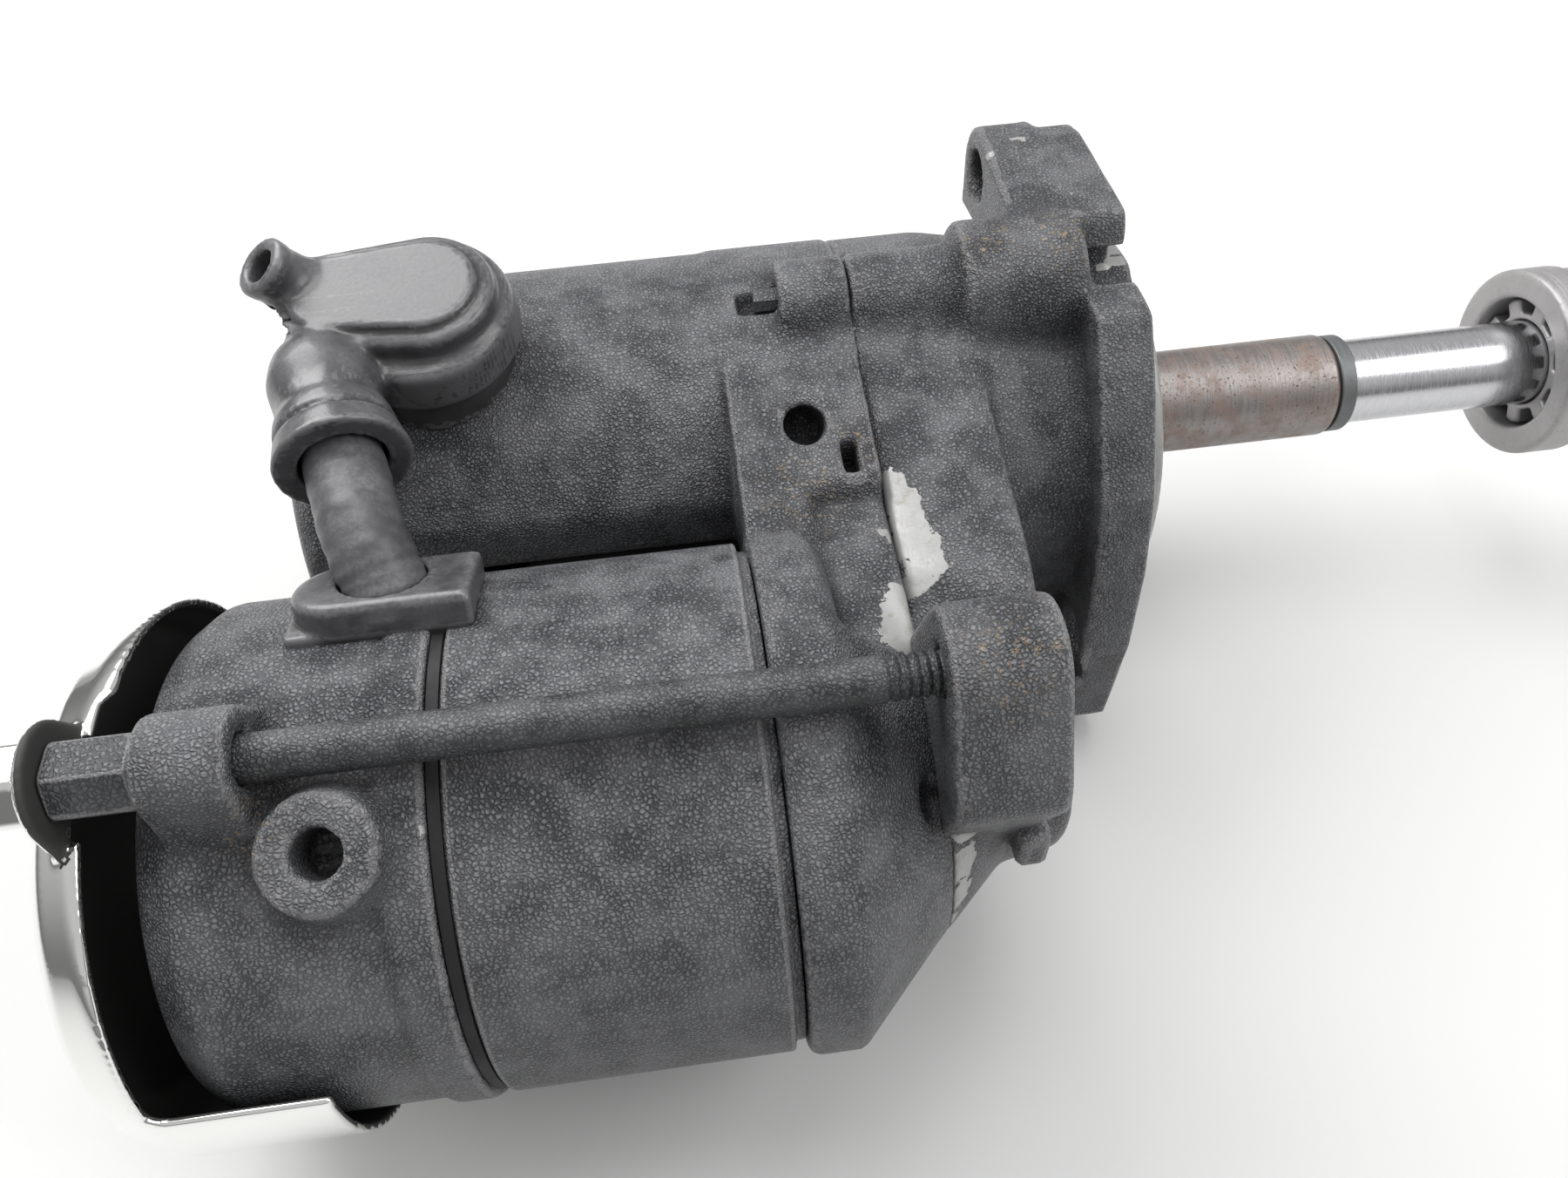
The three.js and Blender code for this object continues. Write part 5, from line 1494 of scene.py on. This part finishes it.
    def grommet(self) -> None:
        """Moulded plate that seals the lead where it enters the end frame.

        The plate lies on the yoke; u runs along the motor, v across it and w away from it,
        about the line at 65 degrees.
        """
        b = Block((-130.5, -66, 27), (-103.6, -46, 43.5), 0.45)
        c, s = np.cos(np.radians(GROMMET)), np.sin(np.radians(GROMMET))
        w = (b.y - MOTOR_Y) * c + b.z * s
        v = -(b.y - MOTOR_Y) * s + b.z * c
        r = b.around(MOTOR_Y, 0)
        long = np.maximum(np.hypot(np.minimum(b.x + 122.4, 0), v) - 7.0, b.x + 105.0)
        plate = soft_max(soft_max(long, w - 42.0, 1.6), 37.8 - r, 0.3)
        b.join(plate)
        saddle = soft_max(soft_max(np.abs(b.x + 118) - 12, np.abs(v) - 6.5, 0.4),
                          soft_max(r - 38.4, 36.2 - r, 0.2), 0.4)
        b.join(saddle, blend=0.8)
        lip = b.strut(tuple(lead_path(100)[86]), tuple(lead_path(100)[97]), 7.0, 7.6, 0.6)
        b.join(soft_max(lip, w - 43.0, 0.5), blend=1.2)
        b.cut(b.pipe(lead_path(20, True)[6:].astype(np.float32), 5.9), blend=0.4)
        self.cast("grommet_plate", b, self.finishes.boot, Slot.RUBBER, "lead_grommet")


@dataclass
class Output(Assembly):
    """Sleeve, shaft, hub, pinion and nut on the output axis."""

    shaft: float = 8.0

    def build(self) -> None:
        """Builds the pieces that show on the output axis."""
        self.sleeve()
        self.shaft_piece()
        self.hub()
        self.pinion()

    def sleeve(self) -> None:
        """Worn sleeve, rough to the touch, and the ring at its end."""
        outer = [(-57, 8.6), (-57, 11.2), (-52, 11.2), (-52, 12.0), (-33, 12.0), (-33, 10.9),
                 (-10, 10.9), (-10, 9.6), (46.6, 9.6), (47.4, 8.8), (47.4, 8.2), (5, 8.2), (5, 6.2),
                 (-18, 6.2), (-18, 8.6), (-57, 8.6)]
        self.dress(turn("drive_sleeve", rounded(outer, 0.4)[:-1], count=144), self.finishes.sleeve,
                   "output", Slot.STEEL, "output_tube")
        ring = [(47.7, 8.4), (47.7, 9.2), (50.6, 9.2), (50.6, 8.2), (47.7, 8.2), (47.7, 8.4)]
        self.dress(turn("sleeve_end_ring", rounded(ring, 0.25)[:-1], count=144), self.finishes.bolt,
                   "output", Slot.DARK_STEEL, "tube_end_ring")

    def shaft_piece(self) -> None:
        """Ground shaft with a threaded front end."""
        r = self.shaft
        body = rounded([(-52, 0), (-52, r - 2.8), (-48.6, r - 2.8), (-48.6, r - 2), (22, r - 2),
                        (22, r), (90.3, r), (90.3, 6.5), (104, 6.5), (104, 6.4)], 0.3)
        x = np.arange(104.2, 112.3, 0.16)
        tip = np.array([[112.5, 5.9], [113.3, 5.2], [113.3, 0]])
        profile = np.concatenate([body, np.stack([x, thread(x, 6.5)], 1), tip])
        self.dress(turn("drive_shaft_ground", profile, count=112), self.finishes.polished,
                   "pinion_shaft", Slot.STEEL, "drive_shaft")
        seal = [(-1.6, 11), (-1.6, 13.4), (3.4, 13.4), (3.4, 12.4), (2.6, 11.2), (3.2, 9.9),
                (-1.6, 9.9), (-1.6, 11)]
        self.dress(turn("shaft_lip_seal", rounded(seal, 0.3)[:-1]), self.finishes.seal, "housing",
                   Slot.RUBBER, "shaft_seal")

    def hub(self) -> None:
        """Nine-lobed hub seen in the pinion's bore."""
        b = Block((88.5, -12.4, -12.4), (105.3, 12.4, 12.4), 0.33)
        turns = np.arange(9) * 40.0
        rows = [p for a in turns for p in (polar(9.4, a - 11), polar(11.9, a - 9), polar(12.2, a),
                                           polar(11.9, a + 9), polar(9.4, a + 11))]
        b.join(b.shape(np.array(rows), 88.5, 105.3, 0.5))
        b.cut(b.rod(86, 109, 6.9, edge=0.1), b.rod(86, 90.3, 8.2, edge=0.1), blend=0.3)
        self.cast("lobed_hub", b, self.finishes.dull, Slot.STEEL, "spline_hub", body="pinion_shaft")

    def pinion(self) -> None:
        """Pinion with its plain collar behind the teeth, and its nut."""
        b = Block((86.3, -18, -18), (108.3, 18, 18), 0.42)
        b.join(b.rod(86.3, 94.3, 17.8, edge=0.9))
        b.join(b.prism(soft_max(b.outline(gear(10, 14.2, 17.4, 12, 5)), b.around(0, 0) - 17.4, 0.6),
                       93, 108.3, 0.7), blend=0.8)
        b.cut(b.rod(80, 105.7, 12.5, edge=0.3), b.rod(104, 112, 7.0, edge=0.1), blend=0.9)
        self.cast("pinion_gear", b, self.finishes.dull, Slot.STEEL, "pinion", body="pinion_shaft")
        b = Block((108.5, -10.6, -10.6), (112.7, 10.6, 10.6), 0.3)
        b.join(b.hexagon(108.5, 112.7, 10.5, 10.3, edge=1.0))
        b.cut(b.rod(100, 120, 6.9, edge=0.1), blend=0.4)
        self.cast("pinion_lock_nut", b, self.finishes.bolt, Slot.DARK_STEEL, "pinion_nut",
                  body="pinion_shaft")


@dataclass
class Studio:
    """Pale floor, soft light and the camera."""

    lens: float = 28.0
    place: tuple = (-0.07421790, -0.16216499, 0.16446353)
    right: tuple = (0.9910579756, -0.1311873691, -0.0243713586)
    down: tuple = (-0.1183149370, -0.7795491026, -0.6150648521)
    forward: tuple = (0.0616900690, 0.6124484230, -0.7880997808)
    target: tuple = (-0.03, -0.04, 0.0)
    low: tuple = (0.34, 0.34, 0.345)
    high: tuple = (1.0, 1.0, 1.0)
    glow: float = 0.58
    card: tuple = (0.68, 0.68, 0.675)
    panels: list = field(default_factory=lambda: [
        ("key", (-0.45, 0.45, 0.65), 0.6, 7.0), ("fill", (0.6, -0.2, 0.6), 0.5, 3.0),
        ("top", (0.0, 0.1, 0.9), 0.5, 3.5)])

    def build(self) -> None:
        """Builds the floor, the world, the lights and the camera."""
        scene = bpy.context.scene
        scene.view_settings.view_transform = "Standard"
        self.floor(CAD_BOX[0][2])
        world = bpy.data.worlds.new("soft_room")
        world.use_nodes = True
        nodes = Nodes(world.node_tree)
        direction = nodes.add("ShaderNodeTexCoord").outputs["Generated"]
        height = nodes.add("ShaderNodeSeparateXYZ", direction).outputs[2]
        shade = nodes.mix(nodes.step(height, 0.02, 0.45), tint(self.low), tint(self.high))
        nodes.feed(world.node_tree.nodes["Background"].inputs[0], shade)
        world.node_tree.nodes["Background"].inputs[1].default_value = self.glow
        scene.world = world
        for name, where, size, power in self.panels:
            lamp = bpy.data.lights.new(name, "AREA")
            lamp.shape, lamp.size, lamp.energy = "SQUARE", size, power
            holder = bpy.data.objects.new(name, lamp)
            scene.collection.objects.link(holder)
            holder.location = where
            aim = Vector(self.target) - Vector(where)
            holder.rotation_euler = aim.to_track_quat("-Z", "Y").to_euler()
        camera = bpy.data.cameras.new("camera")
        camera.lens, camera.sensor_width, camera.clip_start = self.lens, 36.0, 0.01
        holder = bpy.data.objects.new("camera", camera)
        scene.collection.objects.link(holder)
        columns = np.array([self.right, [-v for v in self.down], [-v for v in self.forward]]).T
        holder.matrix_world = Matrix.Translation(self.place) @ Matrix(columns.tolist()).to_4x4()
        scene.camera = holder

    def floor(self, height: float) -> None:
        """Lays the floor under the object.

        Args:
            height: of the object's lowest point, in metres.
        """
        material = bpy.data.materials.new("floor_card")
        material.use_nodes = True
        shader = material.node_tree.nodes["Principled BSDF"]
        shader.inputs["Base Color"].default_value = tint(self.card)
        shader.inputs["Roughness"].default_value = 0.9
        shader.inputs["Specular IOR Level"].default_value = 0.1
        data = bpy.data.meshes.new("floor")
        s = 3.0
        corners = [(-s, -s, height), (s, -s, height), (s, s, height), (-s, s, height)]
        data.from_pydata(corners, [], [(0, 1, 2, 3)])
        data.materials.append(material)
        floor = bpy.data.objects.new("floor", data)
        bpy.context.scene.collection.objects.link(floor)


def dress_nodes(finishes: Finishes) -> None:
    """Gives every CAD node a procedural material, chosen by a word in its name, in each of its
    slots.

    Args:
        finishes: the materials.
    """
    words = {"coil": finishes.seal, "commutator": finishes.copper, "disc": finishes.copper,
             "brush_holder": finishes.plastic, "brush_": finishes.carbon, "seal": finishes.seal,
             "boot": finishes.boot, "lead": finishes.lead, "grommet": finishes.boot,
             "base": finishes.plastic, "chrome": finishes.chrome, "cover_nut": finishes.chrome,
             "housing_screw": finishes.rod, "solenoid_screw": finishes.steel, "nut": finishes.bolt,
             "bolt": finishes.bolt, "standoff": finishes.bolt, "housing": finishes.paint,
             "yoke": finishes.paint, "end_frame": finishes.paint, "cover": finishes.paint}
    for name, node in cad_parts.items():
        material = next((m for word, m in words.items() if word in name), finishes.steel)
        for place in node.material_slots:
            place.material = material
        if not node.material_slots:
            node.data.materials.append(material)


def main() -> None:
    """Builds the studio, the finishes and every sub-assembly in order."""
    logging.basicConfig(level=logging.INFO, format="%(message)s")
    Studio().build()
    finishes = Finishes()
    dress_nodes(finishes)
    for kind in (GearHousing, DriveHousing, Motor, RearCover, Solenoid, Output):
        kind(finishes).build()
        LOG.info("%s done", kind.__name__)


if __name__ == "__main__":
    main()
